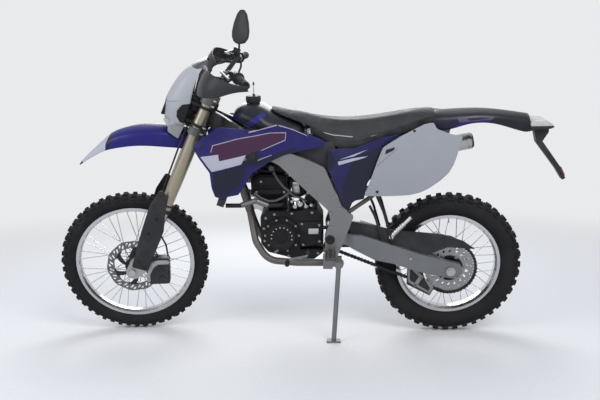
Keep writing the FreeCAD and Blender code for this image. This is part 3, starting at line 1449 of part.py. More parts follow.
def centre_on_ground():
    """Moves the whole bike so that the origin is under the middle of its box."""
    boxes = [piece.Shape.optimalBoundingBox(False) for piece in NODES]
    middle_x = (min(b.XMin for b in boxes) + max(b.XMax for b in boxes)) / 2
    middle_y = (min(b.YMin for b in boxes) + max(b.YMax for b in boxes)) / 2
    shift = Placement(Vector(-middle_x, -middle_y, 0), Rotation())
    for piece in NODES:
        piece.Placement = shift.multiply(piece.Placement)
    doc.recompute()
    return shift


def write_parts():
    """Checks every piece and writes it out."""
    for item in doc.Objects:
        if "Invalid" in item.State or "Error" in item.State:
            raise ValueError(f"{item.Name} failed: {item.State}")
    os.makedirs("parts", exist_ok=True)
    for piece in NODES:
        if piece.Shape.isNull() or not piece.Shape.isValid():
            raise ValueError(f"{piece.Label} has no valid shape")
        piece.Shape.exportStep(f"parts/{piece.Label}.step")
        print(piece.Label, len(piece.Shape.Solids), round(piece.Shape.Volume))


CENTRED = finish()
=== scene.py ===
import json
import math

import bmesh
import bpy
from mathutils import Matrix, Vector


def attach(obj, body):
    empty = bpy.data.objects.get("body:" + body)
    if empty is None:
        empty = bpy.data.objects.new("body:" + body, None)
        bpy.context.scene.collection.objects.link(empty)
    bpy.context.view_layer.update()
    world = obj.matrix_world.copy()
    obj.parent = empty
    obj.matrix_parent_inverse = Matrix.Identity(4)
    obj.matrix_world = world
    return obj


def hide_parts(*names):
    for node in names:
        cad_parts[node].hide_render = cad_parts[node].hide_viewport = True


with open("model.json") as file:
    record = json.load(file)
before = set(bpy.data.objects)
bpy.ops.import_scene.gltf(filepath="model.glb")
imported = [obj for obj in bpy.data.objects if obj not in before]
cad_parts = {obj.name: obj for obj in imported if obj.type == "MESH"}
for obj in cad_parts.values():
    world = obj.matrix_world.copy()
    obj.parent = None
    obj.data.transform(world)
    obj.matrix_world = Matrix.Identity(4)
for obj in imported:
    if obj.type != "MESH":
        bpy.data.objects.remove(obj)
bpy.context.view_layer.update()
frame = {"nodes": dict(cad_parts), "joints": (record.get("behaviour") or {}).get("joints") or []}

# Where the bike stands. Its pieces are drawn upright, in millimetres from the ground under the
# middle of the wheelbase, and the fork's from the middle of the steering head. The joints of the
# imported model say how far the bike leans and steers.
joints = {joint["name"]: joint for joint in frame["joints"]}
RAKE = math.radians(25)
REAR_AXLE = Vector((-0.7425, 0, 0.34))
FRONT_AXLE = Vector((0.0525, 0, -0.811))


def axes(left, steering_axis, rake):
    """A turned frame with its second axis to the rider's left, tilted back by the rake."""
    ahead = left.cross(steering_axis)
    forward = ahead * math.cos(rake) - steering_axis * math.sin(rake)
    up = ahead * math.sin(rake) + steering_axis * math.cos(rake)
    return Matrix((forward, left, up)).transposed().to_4x4()


def spot(joint):
    """Where a joint's axis passes."""
    return Vector(joints[joint]["pos_m"])


steering_axis = Vector(joints["steering_turn"]["axis"])
bike = axes(Vector(joints["rear_wheel_spin"]["axis"]), steering_axis, RAKE)
bike.translation = spot("rear_wheel_spin") - bike.to_3x3() @ REAR_AXLE
fork = axes(Vector(joints["front_wheel_spin"]["axis"]), steering_axis, 0)
fork.translation = spot("steering_turn")
front_hub = fork @ Matrix.Translation(FRONT_AXLE)
rear_hub = bike @ Matrix.Translation(REAR_AXLE)
STANDS = {"chassis": bike, "steering": fork, "front_wheel": front_hub, "rear_wheel": rear_hub}

# Camera: at the photograph's height, distance and angle, level with the saddle. Its lens, place
# and tilt were fitted to the photograph.
PITCH, YAW, ROLL = math.radians(6.19), math.radians(-3.02), math.radians(-0.56)
ahead = Vector((-math.sin(YAW) * math.cos(PITCH), -math.cos(YAW) * math.cos(PITCH),
                -math.sin(PITCH)))
across = ahead.cross(Vector((0, 0, 1))).normalized()
upward = across.cross(ahead)
lens = bpy.data.cameras.new("camera")
lens.sensor_width = 36
lens.lens = 42.6
camera = bpy.data.objects.new("camera", lens)
camera.matrix_world = Matrix.Translation(
    (bike.translation.x - 0.226, bike.translation.y + 3.398, 0.997)) @ Matrix((
        across * math.cos(ROLL) + upward * math.sin(ROLL),
        upward * math.cos(ROLL) - across * math.sin(ROLL), -ahead)).transposed().to_4x4()
bpy.context.scene.collection.objects.link(camera)
bpy.context.scene.camera = camera
bpy.context.scene.view_settings.view_transform = "Standard"

# Studio: a pale floor and a pale surround that the camera, metal and glass all see, and three
# soft lamps. The floor keeps the bike's shadow.


def add(tree, kind, inputs=None, **options):
    """Adds a shader node. An input is a plain value, or the socket that feeds it."""
    shape = tree.nodes.new("ShaderNode" + kind)
    for option, choice in options.items():
        setattr(shape, option, choice)
    for socket, value in (inputs or {}).items():
        if isinstance(value, bpy.types.NodeSocket):
            tree.links.new(value, shape.inputs[socket])
        else:
            shape.inputs[socket].default_value = value
    return shape


world = bpy.data.worlds.new("studio")
bpy.context.scene.world = world
world.use_nodes = True
sky = world.node_tree
sky.nodes.clear()
rays = add(sky, "LightPath")
seen = add(sky, "Math", {0: rays.outputs["Is Camera Ray"], 1: rays.outputs["Is Glossy Ray"]},
           operation="MAXIMUM")
shown = add(sky, "Math", {0: seen.outputs[0], 1: rays.outputs["Is Transmission Ray"]},
            operation="MAXIMUM")
dim = add(sky, "Background", {"Color": (0.80, 0.86, 1.0, 1), "Strength": 0.55})
pale = add(sky, "Background", {"Color": (0.86, 0.87, 0.88, 1), "Strength": 0.95})
mix = add(sky, "MixShader", {0: shown.outputs[0], 1: dim.outputs[0], 2: pale.outputs[0]})
add(sky, "OutputWorld", {0: mix.outputs[0]})

floor_mesh = bmesh.new()
bmesh.ops.create_grid(floor_mesh, x_segments=1, y_segments=1, size=14)
floor_data = bpy.data.meshes.new("floor")
floor_mesh.to_mesh(floor_data)
floor = bpy.data.objects.new("floor", floor_data)
floor.location.z = -0.0006
bpy.context.scene.collection.objects.link(floor)
ground = bpy.data.materials.new("floor_paint")
ground.use_nodes = True
tree = ground.node_tree
speckle = add(tree, "TexNoise", {"Vector": add(tree, "TexCoord").outputs["Object"],
                                 "Scale": 60, "Detail": 6})
tint = add(tree, "MapRange", {"Value": speckle.outputs["Fac"], "To Min": 0.66, "To Max": 0.74})
shader = tree.nodes["Principled BSDF"]
tree.links.new(add(tree, "CombineColor", {0: tint.outputs[0], 1: tint.outputs[0],
                                          2: tint.outputs[0]}).outputs[0],
               shader.inputs["Base Color"])
shader.inputs["Roughness"].default_value = 0.85
away = add(tree, "VectorMath", {0: add(tree, "TexCoord").outputs["Object"]}, operation="LENGTH")
faded = add(tree, "MapRange", {"Value": away.outputs["Value"], "From Min": 1.6, "From Max": 5.5},
            interpolation_type="SMOOTHSTEP")
haze = add(tree, "Emission", {"Color": (0.86, 0.87, 0.88, 1), "Strength": 0.95})
laid = add(tree, "MixShader", {0: faded.outputs[0], 1: shader.outputs[0], 2: haze.outputs[0]})
tree.links.new(laid.outputs[0], tree.nodes["Material Output"].inputs["Surface"])
floor_data.materials.append(ground)

for name, place, aim, width, watts in (
        ("key", (-1.6, 3.2, 3.4), (0.0, 0.0, 0.6), 2.6, 125),
        ("fill", (3.0, 2.2, 2.2), (0.2, 0.0, 0.6), 2.4, 55),
        ("back", (0.4, -3.2, 2.8), (0.0, 0.0, 0.7), 2.8, 90)):
    glow = bpy.data.lights.new(name, "AREA")
    glow.shape = "DISK"
    glow.size = width
    glow.energy = watts
    lamp = bpy.data.objects.new(name, glow)
    lamp.location = place
    lamp.rotation_euler = (Vector(aim) - Vector(place)).to_track_quat("-Z", "Y").to_euler()
    bpy.context.scene.collection.objects.link(lamp)

# Frame: twin aluminium spars with their pivot plates, brushed and clear-coated, a painted steel
# cradle under the engine and the seat's rails, all bolted up with plated bolts.
MM = 0.001


def place_of(tree, stand):
    """Coordinates in metres in the frame of the upright bike, the fork or a wheel."""
    return add(tree, "Mapping", {
        "Vector": add(tree, "TexCoord").outputs["Object"], "Location": stand.translation,
        "Rotation": stand.to_euler()}, vector_type="TEXTURE").outputs[0]


def finish(name, colour, roughness, metal=0.0, coat=0.0, grain=900, depth=0.00004, dust=0.1,
           stretch=(1, 1, 1), stand=None):
    """A painted, moulded or machined surface: its colour and gloss vary, with a fine grain."""
    surface = bpy.data.materials.new(name)
    surface.use_nodes = True
    tree = surface.node_tree
    shader = tree.nodes["Principled BSDF"]
    shader.inputs["Metallic"].default_value = metal
    shader.inputs["Coat Weight"].default_value = coat
    shader.inputs["Coat Roughness"].default_value = 0.15
    shader.inputs["Specular IOR Level"].default_value = 0.22
    where = place_of(tree, stand or bike)
    scaled = add(tree, "VectorMath", {0: where, 1: stretch}, operation="MULTIPLY").outputs[0]
    clouds = add(tree, "TexNoise", {"Vector": where, "Scale": 7, "Detail": 8, "Roughness": 0.62})
    fine = add(tree, "TexNoise", {"Vector": scaled, "Scale": grain, "Detail": 3})
    worn = add(tree, "MapRange", {"Value": clouds.outputs["Fac"], "From Min": 0.48,
                                  "From Max": 0.78, "To Max": dust})
    pale = [min(1, 0.55 * c + 0.2) for c in colour]
    shade = add(tree, "Mix", {"Factor": worn.outputs[0], 6: (*colour, 1), 7: (*pale, 1)},
                data_type="RGBA")
    gloss = add(tree, "MapRange", {"Value": clouds.outputs["Fac"], "From Min": 0.3,
                                   "From Max": 0.75, "To Min": roughness * 0.85,
                                   "To Max": min(1, roughness * 1.3 + 0.03)})
    bump = add(tree, "Bump", {"Height": fine.outputs["Fac"], "Distance": depth,
                              "Strength": 0.6})
    tree.links.new(shade.outputs[2], shader.inputs["Base Color"])
    tree.links.new(gloss.outputs[0], shader.inputs["Roughness"])
    tree.links.new(bump.outputs[0], shader.inputs["Normal"])
    return surface


def dress(surface, *nodes):
    """Gives CAD pieces their finish."""
    for node in nodes:
        data = frame["nodes"][node].data
        data.materials.clear()
        data.materials.append(surface)


def overlay(surface, mask, colour):
    """Lays a colour over a finish where the mask is 1."""
    tree = surface.node_tree
    socket = tree.nodes["Principled BSDF"].inputs["Base Color"]
    under = socket.links[0].from_socket
    over = add(tree, "Mix", {"Factor": mask, 6: under, 7: (*colour, 1)}, data_type="RGBA")
    tree.links.new(over.outputs[2], socket)


def region(tree, where, corners):
    """1 inside a convex outline of (forward, up) in millimetres, seen from the side."""
    middle = [sum(values) / len(corners) for values in zip(*corners)]
    inside = None
    for (x0, z0), (x1, z1) in zip(corners, corners[1:] + corners[:1]):
        normal = Vector((z0 - z1, 0, x1 - x0)).normalized()
        if normal.x * (middle[0] - x0) + normal.z * (middle[1] - z0) < 0:
            normal.negate()
        along = add(tree, "VectorMath", {0: where, 1: normal}, operation="DOT_PRODUCT")
        side = add(tree, "Math", {0: along.outputs["Value"],
                                  1: (normal.x * x0 + normal.z * z0) * MM},
                   operation="GREATER_THAN").outputs[0]
        inside = side if inside is None else add(tree, "Math", {0: inside, 1: side},
                                                 operation="MULTIPLY").outputs[0]
    return inside


def graphics(surface, stand, shapes):
    """Paints flat shapes on a finish: each a colour and a convex outline from the side."""
    where = place_of(surface.node_tree, stand)
    for colour, corners in shapes:
        overlay(surface, region(surface.node_tree, where, corners), colour)


spar_silver = finish("spar_silver", (0.2, 0.2, 0.205), 0.38, metal=0.7, stretch=(0.1, 1, 1),
                     depth=0.00006, dust=0.18)
cradle_grey = finish("cradle_grey", (0.11, 0.10, 0.09), 0.42, metal=0.3, dust=0.3)
# Painted shade: the spars are painted dark near the steering head, behind the shrouds, where they
# lie in shade.
graphics(spar_silver, bike, (
    ((0.06, 0.06, 0.065), [(205, 1230), (205, 985), (330, 900), (480, 900), (480, 1230)]),))
dress(spar_silver, "main_frame")
dress(cradle_grey, "cradle", "subframe")
bolt_steel = finish("bolt_steel", (0.26, 0.26, 0.25), 0.3, metal=1.0, grain=2000)
# Each bolt's place ahead, up and out
FRAME_BOLTS = ((-60, 800, 139.2), (-92, 762, 139.2), (-196, 628, 136.1), (-202, 560, 131.2),
               (-196, 446, 131.2), (-238, 648, 131.6), (-212, 700, 131.6))


def drawn(name, mesh):
    """Ends the work on a mesh and keeps it under a name."""
    data = bpy.data.meshes.new(name)
    mesh.to_mesh(data)
    mesh.free()
    return data


def placed(mesh, place):
    """Moves all of a mesh."""
    bmesh.ops.transform(mesh, matrix=place, verts=mesh.verts)


def piece(name, mesh, surface, body, instead=(), angle=38):
    """Makes a mesh drawn in millimetres in a body's frame a named piece that moves with it."""
    placed(mesh, STANDS[body] @ Matrix.Scale(MM, 4))
    data = drawn(name, mesh)
    data.materials.append(surface)
    data.shade_smooth()
    data.set_sharp_from_angle(angle=math.radians(angle))
    made = bpy.data.objects.new(name, data)
    bpy.context.scene.collection.objects.link(made)
    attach(made, body)
    if instead:
        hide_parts(*instead)
    return made


def pointed(start, line, axis="Y", up="Z"):
    """Stands what is drawn along an axis on a line."""
    return Matrix.Translation(start) @ line.to_track_quat(axis, up).to_matrix().to_4x4()


def rod(mesh, start, end, radius, sides=20, tip=None):
    """A round bar, or a cone where the tip differs."""
    start, end = Vector(start), Vector(end)
    return bmesh.ops.create_cone(
        mesh, cap_ends=True, segments=sides, radius1=radius,
        radius2=radius if tip is None else tip, depth=(end - start).length,
        matrix=pointed((start + end) / 2, end - start, "Z", "Y"))["verts"]


def bolt(mesh, place, along, radius, height=3.5, sides=6):
    """A bolt's head on its flange."""
    place, along = Vector(place), Vector(along).normalized()
    rod(mesh, place, place + along * 1.2, radius * 1.25, 16)
    rod(mesh, place, place + along * height, radius, sides)


def bolts(mesh, spots, out, radius, height):
    """Bolt heads that face outwards, each at a spot seen from the side."""
    for x, z in spots:
        bolt(mesh, (x, out, z), (0, 1, 0), radius, height)


def both_sides(mesh):
    """Adds the other side's twin of all that is in the mesh."""
    twin = bmesh.ops.duplicate(mesh, geom=mesh.verts[:] + mesh.edges[:] + mesh.faces[:])["geom"]
    bmesh.ops.scale(mesh, vec=(1, -1, 1),
                    verts=[item for item in twin if isinstance(item, bmesh.types.BMVert)])
    bmesh.ops.reverse_faces(mesh, faces=[item for item in twin
                                         if isinstance(item, bmesh.types.BMFace)])


heads = bmesh.new()
for x, z, out in FRAME_BOLTS:
    bolt(heads, (x, out, z), (0, 1, 0), 5.5, 5)
both_sides(heads)
piece("frame_bolts", heads, bolt_steel, "chassis")

# Pivot caps: turned black covers over the ends of the swingarm's shaft, pressed into the frame's
# plates, and the black stays beside them.
satin_black = finish("satin_black", (0.012, 0.012, 0.014), 0.4, dust=0.12)
dress(satin_black, "rear_stays")


def spun(mesh, profile, steps=64, closed=True):
    """A section of (out, radius) turned about the axle's line."""
    corners = [mesh.verts.new((0, out, radius)) for out, radius in profile]
    pairs = list(zip(corners, corners[1:]))
    if closed:
        pairs.append((corners[-1], corners[0]))
    edges = [mesh.edges.new(pair) for pair in pairs]
    bmesh.ops.spin(mesh, geom=corners + edges, cent=(0, 0, 0), axis=(0, 1, 0), dvec=(0, 0, 0),
                   angle=2 * math.pi, steps=steps, use_merge=True)
    bmesh.ops.recalc_face_normals(mesh, faces=mesh.faces)


caps = bmesh.new()
spun(caps, ((132.3, 0), (132.3, 22), (135.2, 22), (137.2, 19.5), (137.2, 12), (135.4, 10.5),
            (135.4, 0)), 40, closed=False)
placed(caps, Matrix.Translation((-193, 0, 501)))
both_sides(caps)
piece("pivot_bolt_caps", caps, satin_black, "chassis", instead=("pivot_caps",))

# Engine: a water-cooled single, its cases, cylinder and head painted black, with plated cover
# bolts and bare edges. Covers are cast, so they are thick and round at their edges.
engine_black = finish("engine_black", (0.006, 0.006, 0.007), 0.5, grain=1400, depth=0.00012,
                      dust=0.06)
dress(engine_black, "crankcase")
CRANK = Vector((26, 0, 511))
SHAFT = Vector((-105, 0, 512))


def rounded(mesh, edges, width):
    """Rounds the edges of a solid."""
    bmesh.ops.bevel(mesh, geom=edges, offset=width, segments=2, profile=0.5, affect="EDGES",
                    material=-1, clamp_overlap=True)


def block(mesh, centre, sides, edge=1.5, turn=None):
    """A box with eased edges."""
    corners = bmesh.ops.create_cube(mesh, size=1, matrix=Matrix.Translation(centre) @ (
        turn or Matrix()) @ Matrix.Diagonal((*sides, 1)))["verts"]
    if edge:
        rounded(mesh, list({side for corner in corners for side in corner.link_edges}), edge)


def prism(mesh, corners, low, high, edge=1.5):
    """An outline seen from the side, carried from one distance out to another."""
    face = mesh.faces.new([mesh.verts.new((x, low, z)) for x, z in corners])
    grown = bmesh.ops.extrude_face_region(mesh, geom=[face])["geom"]
    moved = [item for item in grown if isinstance(item, bmesh.types.BMVert)]
    bmesh.ops.translate(mesh, vec=(0, high - low, 0), verts=moved)
    edges = list({side for corner in [*face.verts, *moved] for side in corner.link_edges})
    faces = list({face for side in edges for face in side.link_faces})
    bmesh.ops.recalc_face_normals(mesh, faces=faces)
    if edge:
        rounded(mesh, edges, edge)


def around(angle, radius, out):
    """A spot round an axle, its angle in degrees from ahead."""
    turn = math.radians(angle)
    return Vector((radius * math.cos(turn), out, radius * math.sin(turn)))


def rods(mesh, runs, sides=20):
    """Several round bars, each a start, an end and a radius."""
    for start, end, radius in runs:
        rod(mesh, start, end, radius, sides)


def bent_rod(mesh, run, radius):
    """A rod through several points, with a ball at each bend."""
    for start, end in zip(run, run[1:]):
        rod(mesh, start, end, radius, 16)
        bmesh.ops.create_icosphere(mesh, subdivisions=2, radius=radius,
                                   matrix=Matrix.Translation(end))


barrel = bmesh.new()
for level in range(8):
    reach = 52 if level % 2 else 47
    block(barrel, (CRANK.x + 48, 0, CRANK.z + 116 + level * 7.7), (142, 2 * reach, 4.2), 1.6)
block(barrel, (CRANK.x + 48, 0, CRANK.z + 142), (132, 88, 59), 6)
piece("finned_barrel", barrel, engine_black, "chassis",
      instead=("engine_cylinder",))
top = bmesh.new()
prism(top, ((-1, 684), (158, 684), (166, 702), (166, 772), (126, 787), (26, 787), (-4, 772),
            (-4, 700)), -60, 60, 9)
prism(top, ((8, 694), (150, 694), (154, 704), (154, 720), (6, 720), (2, 704)), -67.5, 67.5, 4)
prism(top, ((10, 744), (40, 734), (124, 734), (150, 744), (150, 768), (118, 779), (30, 779),
            (8, 768)), -67.5, 67.5, 5)
for x in (22, 52, 82, 112, 138):
    block(top, (x, 0, 727), (3.4, 134, 22), 1)
piece("head_casting", top, engine_black, "chassis", instead=("engine_head",))

# Engine covers: cast cases over the generator, the front sprocket and the clutch, thick and round
# at their edges, with a lug for each bolt round them, and plated bolts in the lugs.
LUG_SPOTS = ((-144, 560), (-144, 482), (-70, 466), (-66, 566))
cover = bmesh.new()
spun(cover, ((88.3, 0), (88.3, 81), (98, 81), (101, 78), (101, 71), (104, 68), (126, 64),
             (132, 58), (132, 44), (129, 41), (129, 24), (133, 21), (133, 0)), 64, closed=False)
for angle in range(0, 360, 30):
    block(cover, around(angle, 56, 118), (26, 20, 4), 1.5,
          Matrix.Rotation(-math.radians(angle), 4, "Y"))
for angle in range(0, 360, 36):
    rod(cover, around(angle, 77, 89), around(angle, 77, 104), 8)
placed(cover, Matrix.Translation(CRANK))
prism(cover, ((-157, 574), (-157, 468), (-60, 452), (-52, 490), (-54, 530), (-40, 560),
              (-46, 574)), 88.3, 99, 4)
for x, z in LUG_SPOTS:
    rod(cover, (x, 95, z), (x, 101, z), 8)
right = bmesh.new()
spun(right, ((88.3, 0), (88.3, 85), (96, 85), (100, 80), (116, 74), (126, 62), (127, 30),
             (124, 26), (124, 0)), 64, closed=False)
for angle in range(0, 360, 40):
    rod(right, around(angle, 80, 89), around(angle, 80, 103), 8)
bmesh.ops.scale(right, vec=(1, -1, 1), verts=right.verts)
bmesh.ops.reverse_faces(right, faces=right.faces)
placed(right, Matrix.Translation(CRANK + Vector((-70, 0, 0))))
piece("clutch_cover", right, engine_black, "chassis")
piece("stator_and_sprocket_covers", cover, engine_black, "chassis",
      instead=("engine_covers",))
studs = bmesh.new()
for angle in range(0, 360, 36):
    bolt(studs, CRANK + around(angle, 77, 104), (0, 1, 0), 4.6, 4.5)
bolts(studs, LUG_SPOTS, 101, 4.6, 4.5)
bolts(studs, ((100, 590), (60, 608), (-20, 612), (-112, 616), (110, 540), (108, 480), (60, 426),
              (0, 404), (-80, 402), (-136, 420)), 88, 5, 5)
bolts(studs, ((14, 708), (140, 708), (30, 757), (118, 757)), 67.5, 4.2, 4)
both_sides(studs)
piece("engine_bolts", studs, bolt_steel, "chassis")
dots = bmesh.new()
for angle in range(-6, 200, 22):
    rod(dots, CRANK + around(angle, 47, 126), CRANK + around(angle, 47, 133), 3.6, 16, 3)
plate_silver = finish("plate_silver", (0.5, 0.5, 0.5), 0.3, metal=0.9)
for x, z, radius in ((-34, 640, 9), (-58, 650, 11), (-84, 640, 8), (-108, 646, 7), (-20, 664, 6)):
    rod(dots, (x, 30, z), (x, 74, z), radius, 24)
    bolt(dots, (x, 74, z), (0, 1, 0), radius * 0.6, 5)
piece("cover_dots_and_cable_ends", dots, plate_silver, "chassis")

# Round the engine: the starter motor on the cases, rubber hoses and blocks above it, a blank
# plate and a bracket of plated steel, and thin grey lines clipped along the cylinder.
starter = bmesh.new()
spun(starter, ((-30, 0), (-30, 26), (26, 26), (30, 28), (44, 28), (48, 22), (48, 0)), 40,
     closed=False)
placed(starter, Matrix.Translation((-104, 0, 664)))
rods(starter, (((-12, 40, 618), (-12, 40, 690), 7), ((-60, 52, 618), (-60, 52, 676), 8),
               ((-126, 60, 610), (-132, 60, 680), 6), ((-40, 66, 624), (-4, 66, 700), 5),
               ((-4, 66, 700), (30, 60, 716), 5), ((-90, 72, 616), (-60, 74, 640), 5)))
block(starter, (-40, 30, 628), (70, 60, 26), 6)
block(starter, (66, 0, 810), (150, 84, 48), 14)
block(starter, (84, 0, 846), (96, 60, 40), 12)
rods(starter, (((-4, 30, 700), (-30, 34, 812), 9), ((-30, 34, 812), (40, 44, 840), 9),
               ((150, 40, 770), (176, 52, 850), 8), ((-70, 20, 690), (-60, 26, 770), 14),
               ((60, 52, 800), (140, 56, 812), 6), ((10, 54, 690), (0, 62, 790), 4.5)))
piece("starter_and_hoses", starter, engine_black, "chassis")
blank = bmesh.new()
block(blank, (-118, 99.6, 530), (46, 1.2, 26), 0.4)
block(blank, (132, 60, 640), (46, 6, 30), 2)
prism(blank, ((112, 612), (158, 640), (150, 684), (120, 676)), 62, 68, 1.2)
piece("engine_plate_and_bracket", blank, plate_silver, "chassis")
hose_grey = finish("hose_grey", (0.09, 0.09, 0.095), 0.45, metal=0.3)
lines = bmesh.new()
bent_rod(lines, ((150, 76, 706), (122, 78, 684), (86, 80, 668), (52, 80, 670), (22, 78, 684),
                 (-6, 74, 704)), 6)
bent_rod(lines, ((66, 58, 826), (58, 72, 800), (40, 76, 768), (18, 76, 738), (-10, 72, 712)), 7)
bent_rod(lines, ((-10, 72, 712), (-30, 76, 690), (-58, 78, 684), (-86, 76, 668)), 5)
rod(lines, (68, 60, 822), (68, 82, 822), 12, 24)
piece("engine_lines", lines, hose_grey, "chassis")

# Carburettor: a cast body behind the head, with its float bowl and slide cover, held by a rubber
# sleeve at each end.
carb = bmesh.new()
rod(carb, (-4, 0, 736), (-64, 0, 736), 25, 32)
block(carb, (-38, 0, 711), (42, 46, 46), 6)
rod(carb, (-36, 0, 748), (-36, 0, 776), 18, 24)
rod(carb, (-36, 23, 716), (-36, 30, 716), 10, 24)
block(carb, (-34, 26, 738), (28, 12, 14), 3)
piece("carburettor_casting", carb, plate_silver, "chassis", instead=("carburettor",))
sleeves = bmesh.new()
for start, end in ((-4.5, -12), (-59.5, -66)):
    rod(sleeves, (start, 0, 736), (end, 0, 736), 27.5, 32)
rubber_black = finish("rubber_black", (0.014, 0.014, 0.014), 0.6, dust=0.15)
piece("carburettor_sleeves", sleeves, rubber_black, "chassis")

# Exhaust: a bare steel header, bent from tube, that has gone brown at the head, and a brushed
# aluminium silencer with a rolled band near each end.
header_steel = finish("header_steel", (0.26, 0.24, 0.22), 0.34, metal=0.9, dust=0.25)
dress(header_steel, "exhaust_pipe")
silencer_metal = finish("silencer_metal", (0.42, 0.42, 0.42), 0.33, metal=0.9,
                        stretch=(0.05, 1, 1))
graphics(silencer_metal, bike, (
    ((0.05, 0.05, 0.05), [(-846, 1000), (-846, 800), (-900, 800), (-900, 1000)]),))
can = bmesh.new()
spun(can, ((0, 0), (0, 34), (4, 38), (330, 38), (341, 31), (341, 21), (320, 21), (320, 0)), 48,
     closed=False)
for place in (12, 318):
    spun(can, ((place - 5, 37.9), (place - 5, 39), (place + 5, 39), (place + 5, 37.9)), 48)
line = Vector((-1, 0, 0.2)).normalized()
placed(can, pointed(Vector((-520, -103, 838)) + line * 0.5, line))
piece("silencer_can", can, silencer_metal, "chassis", instead=("silencer",))

# Radiators: a black core with fine fins each side behind the shrouds, joined to the cylinder by
# a rubber hose and a short grey pipe.
radiator_fins = finish("radiator_fins", (0.05, 0.05, 0.055), 0.5, metal=0.5)
tree = radiator_fins.node_tree
ribs = add(tree, "TexWave", {"Vector": place_of(tree, bike), "Scale": 90}, bands_direction="Z")
fins = add(tree, "Bump", {"Height": ribs.outputs["Fac"], "Distance": 0.002, "Strength": 1.0})
tree.links.new(fins.outputs[0], tree.nodes["Principled BSDF"].inputs["Normal"])
dress(radiator_fins, "radiators")
dress(rubber_black, "coolant_hose")
pipe_grey = finish("pipe_grey", (0.16, 0.16, 0.165), 0.35, metal=0.7)
joint = bmesh.new()
rods(joint, (((206, 117, 661), (142, 101, 677), 12.5),
             ((140, 100.5, 676.5), (88, 92.5, 652), 12.5)), 24)
piece("coolant_pipe", joint, pipe_grey, "chassis")

# Fuel tank: one moulded plastic shell under the seat's nose, with two bands of painted blue sheen
# running up to its shoulder and a small blank sticker, and a ribbed screw cap with a breather on
# top.
tank_blue = finish("tank_blue", (0.008, 0.009, 0.016), 0.38, coat=0.12, dust=0.08)
graphics(tank_blue, bike, (
    # Painted sheen: the two blue bands stand for light on the dark tank. The grey patch is the
    # sticker.
    ((0.018, 0.018, 0.15), [(274, 964), (97, 1081), (80, 1066), (227, 966)]),
    ((0.014, 0.015, 0.10), [(300, 1010), (210, 1070), (190, 1052), (276, 985)]),
    ((0.12, 0.12, 0.10), [(212, 1004), (165, 1020), (157, 1008), (208, 989)])))
# How far ahead, low edge, high edge, half widths low, in the middle and on top
TANK = ((-89, 894, 1012, 70, 82, 66), (-50, 906, 1026, 88, 98, 70), (0, 930, 1046, 104, 120, 73),
        (40, 946, 1064, 118, 131, 74), (75, 953, 1082, 127, 137, 74),
        (108, 966, 1107.5, 127, 137, 76), (150, 990, 1107.5, 104, 122, 74),
        (200, 1021, 1105, 84, 100, 62), (226, 1036, 1080, 62, 68, 50),
        (237, 1041, 1060, 50, 55, 44))


def skin(mesh, sections, closed=True, capped=True):
    """Bridges sections, each a row of points, into one surface. Closed ones may be capped."""
    rows = []
    for section in sections:
        corners = [mesh.verts.new(point) for point in section]
        pairs = list(zip(corners, corners[1:]))
        if closed:
            pairs.append((corners[-1], corners[0]))
        rows.append([mesh.edges.new(pair) for pair in pairs])
    for first, second in zip(rows, rows[1:]):
        bmesh.ops.bridge_loops(mesh, edges=first + second)
    if closed and capped:
        for row in (rows[0], rows[-1]):
            bmesh.ops.contextual_create(mesh, geom=row)
    bmesh.ops.recalc_face_normals(mesh, faces=mesh.faces)


def subdivided(made, levels=2):
    """Smooths a piece's cage."""
    smooth = made.modifiers.new("smooth", "SUBSURF")
    smooth.levels = levels
    smooth.render_levels = levels


shell = bmesh.new()
skin(shell, [[(x, -low_half, low), (x, low_half, low),
              (x, middle, low + (high - low) * 0.4), (x, middle * 0.97, low + (high - low) * 0.66),
              (x, top + 6, high - 7), (x, top * 0.6, high), (x, -top * 0.6, high),
              (x, -top - 6, high - 7), (x, -middle * 0.97, low + (high - low) * 0.66),
              (x, -middle, low + (high - low) * 0.4)]
             for x, low, high, low_half, middle, top in TANK])
tank = piece("tank_shell", shell, tank_blue, "chassis",
             instead=("fuel_tank",), angle=60)
subdivided(tank)
plastic_black = finish("plastic_black", (0.02, 0.02, 0.022), 0.42, grain=1500, dust=0.15)
CAP = Vector((146, 0, 0))
cap = bmesh.new()
bmesh.ops.create_cone(cap, cap_ends=True, segments=24, radius1=32, radius2=34, depth=12,
                      matrix=Matrix.Translation(CAP + Vector((0, 0, 1114.4))))
bmesh.ops.create_cone(cap, cap_ends=True, segments=48, radius1=33, radius2=30, depth=17,
                      matrix=Matrix.Translation(CAP + Vector((0, 0, 1129.5))))
for turn in range(16):
    away = Vector((math.cos(math.pi * turn / 8), math.sin(math.pi * turn / 8), 0))
    rod(cap, CAP + away * 31.5 + Vector((0, 0, 1119)), CAP + away * 30 + Vector((0, 0, 1136)),
        3, 8)
rod(cap, (143, 0, 1186), (143, 0, 1199), 5, 16, 2.5)
rod(cap, (143, 0, 1137), (143, 0, 1145), 6, 16)
piece("filler_cap", cap, plastic_black, "chassis", instead=("tank_cap",))
breather = bmesh.new()
rod(breather, (143, 0, 1140), (143, 0, 1188), 2.6, 16)
vent_pale = finish("vent_pale", (0.45, 0.45, 0.42), 0.4)
piece("breather_stem", breather, vent_pale, "chassis")
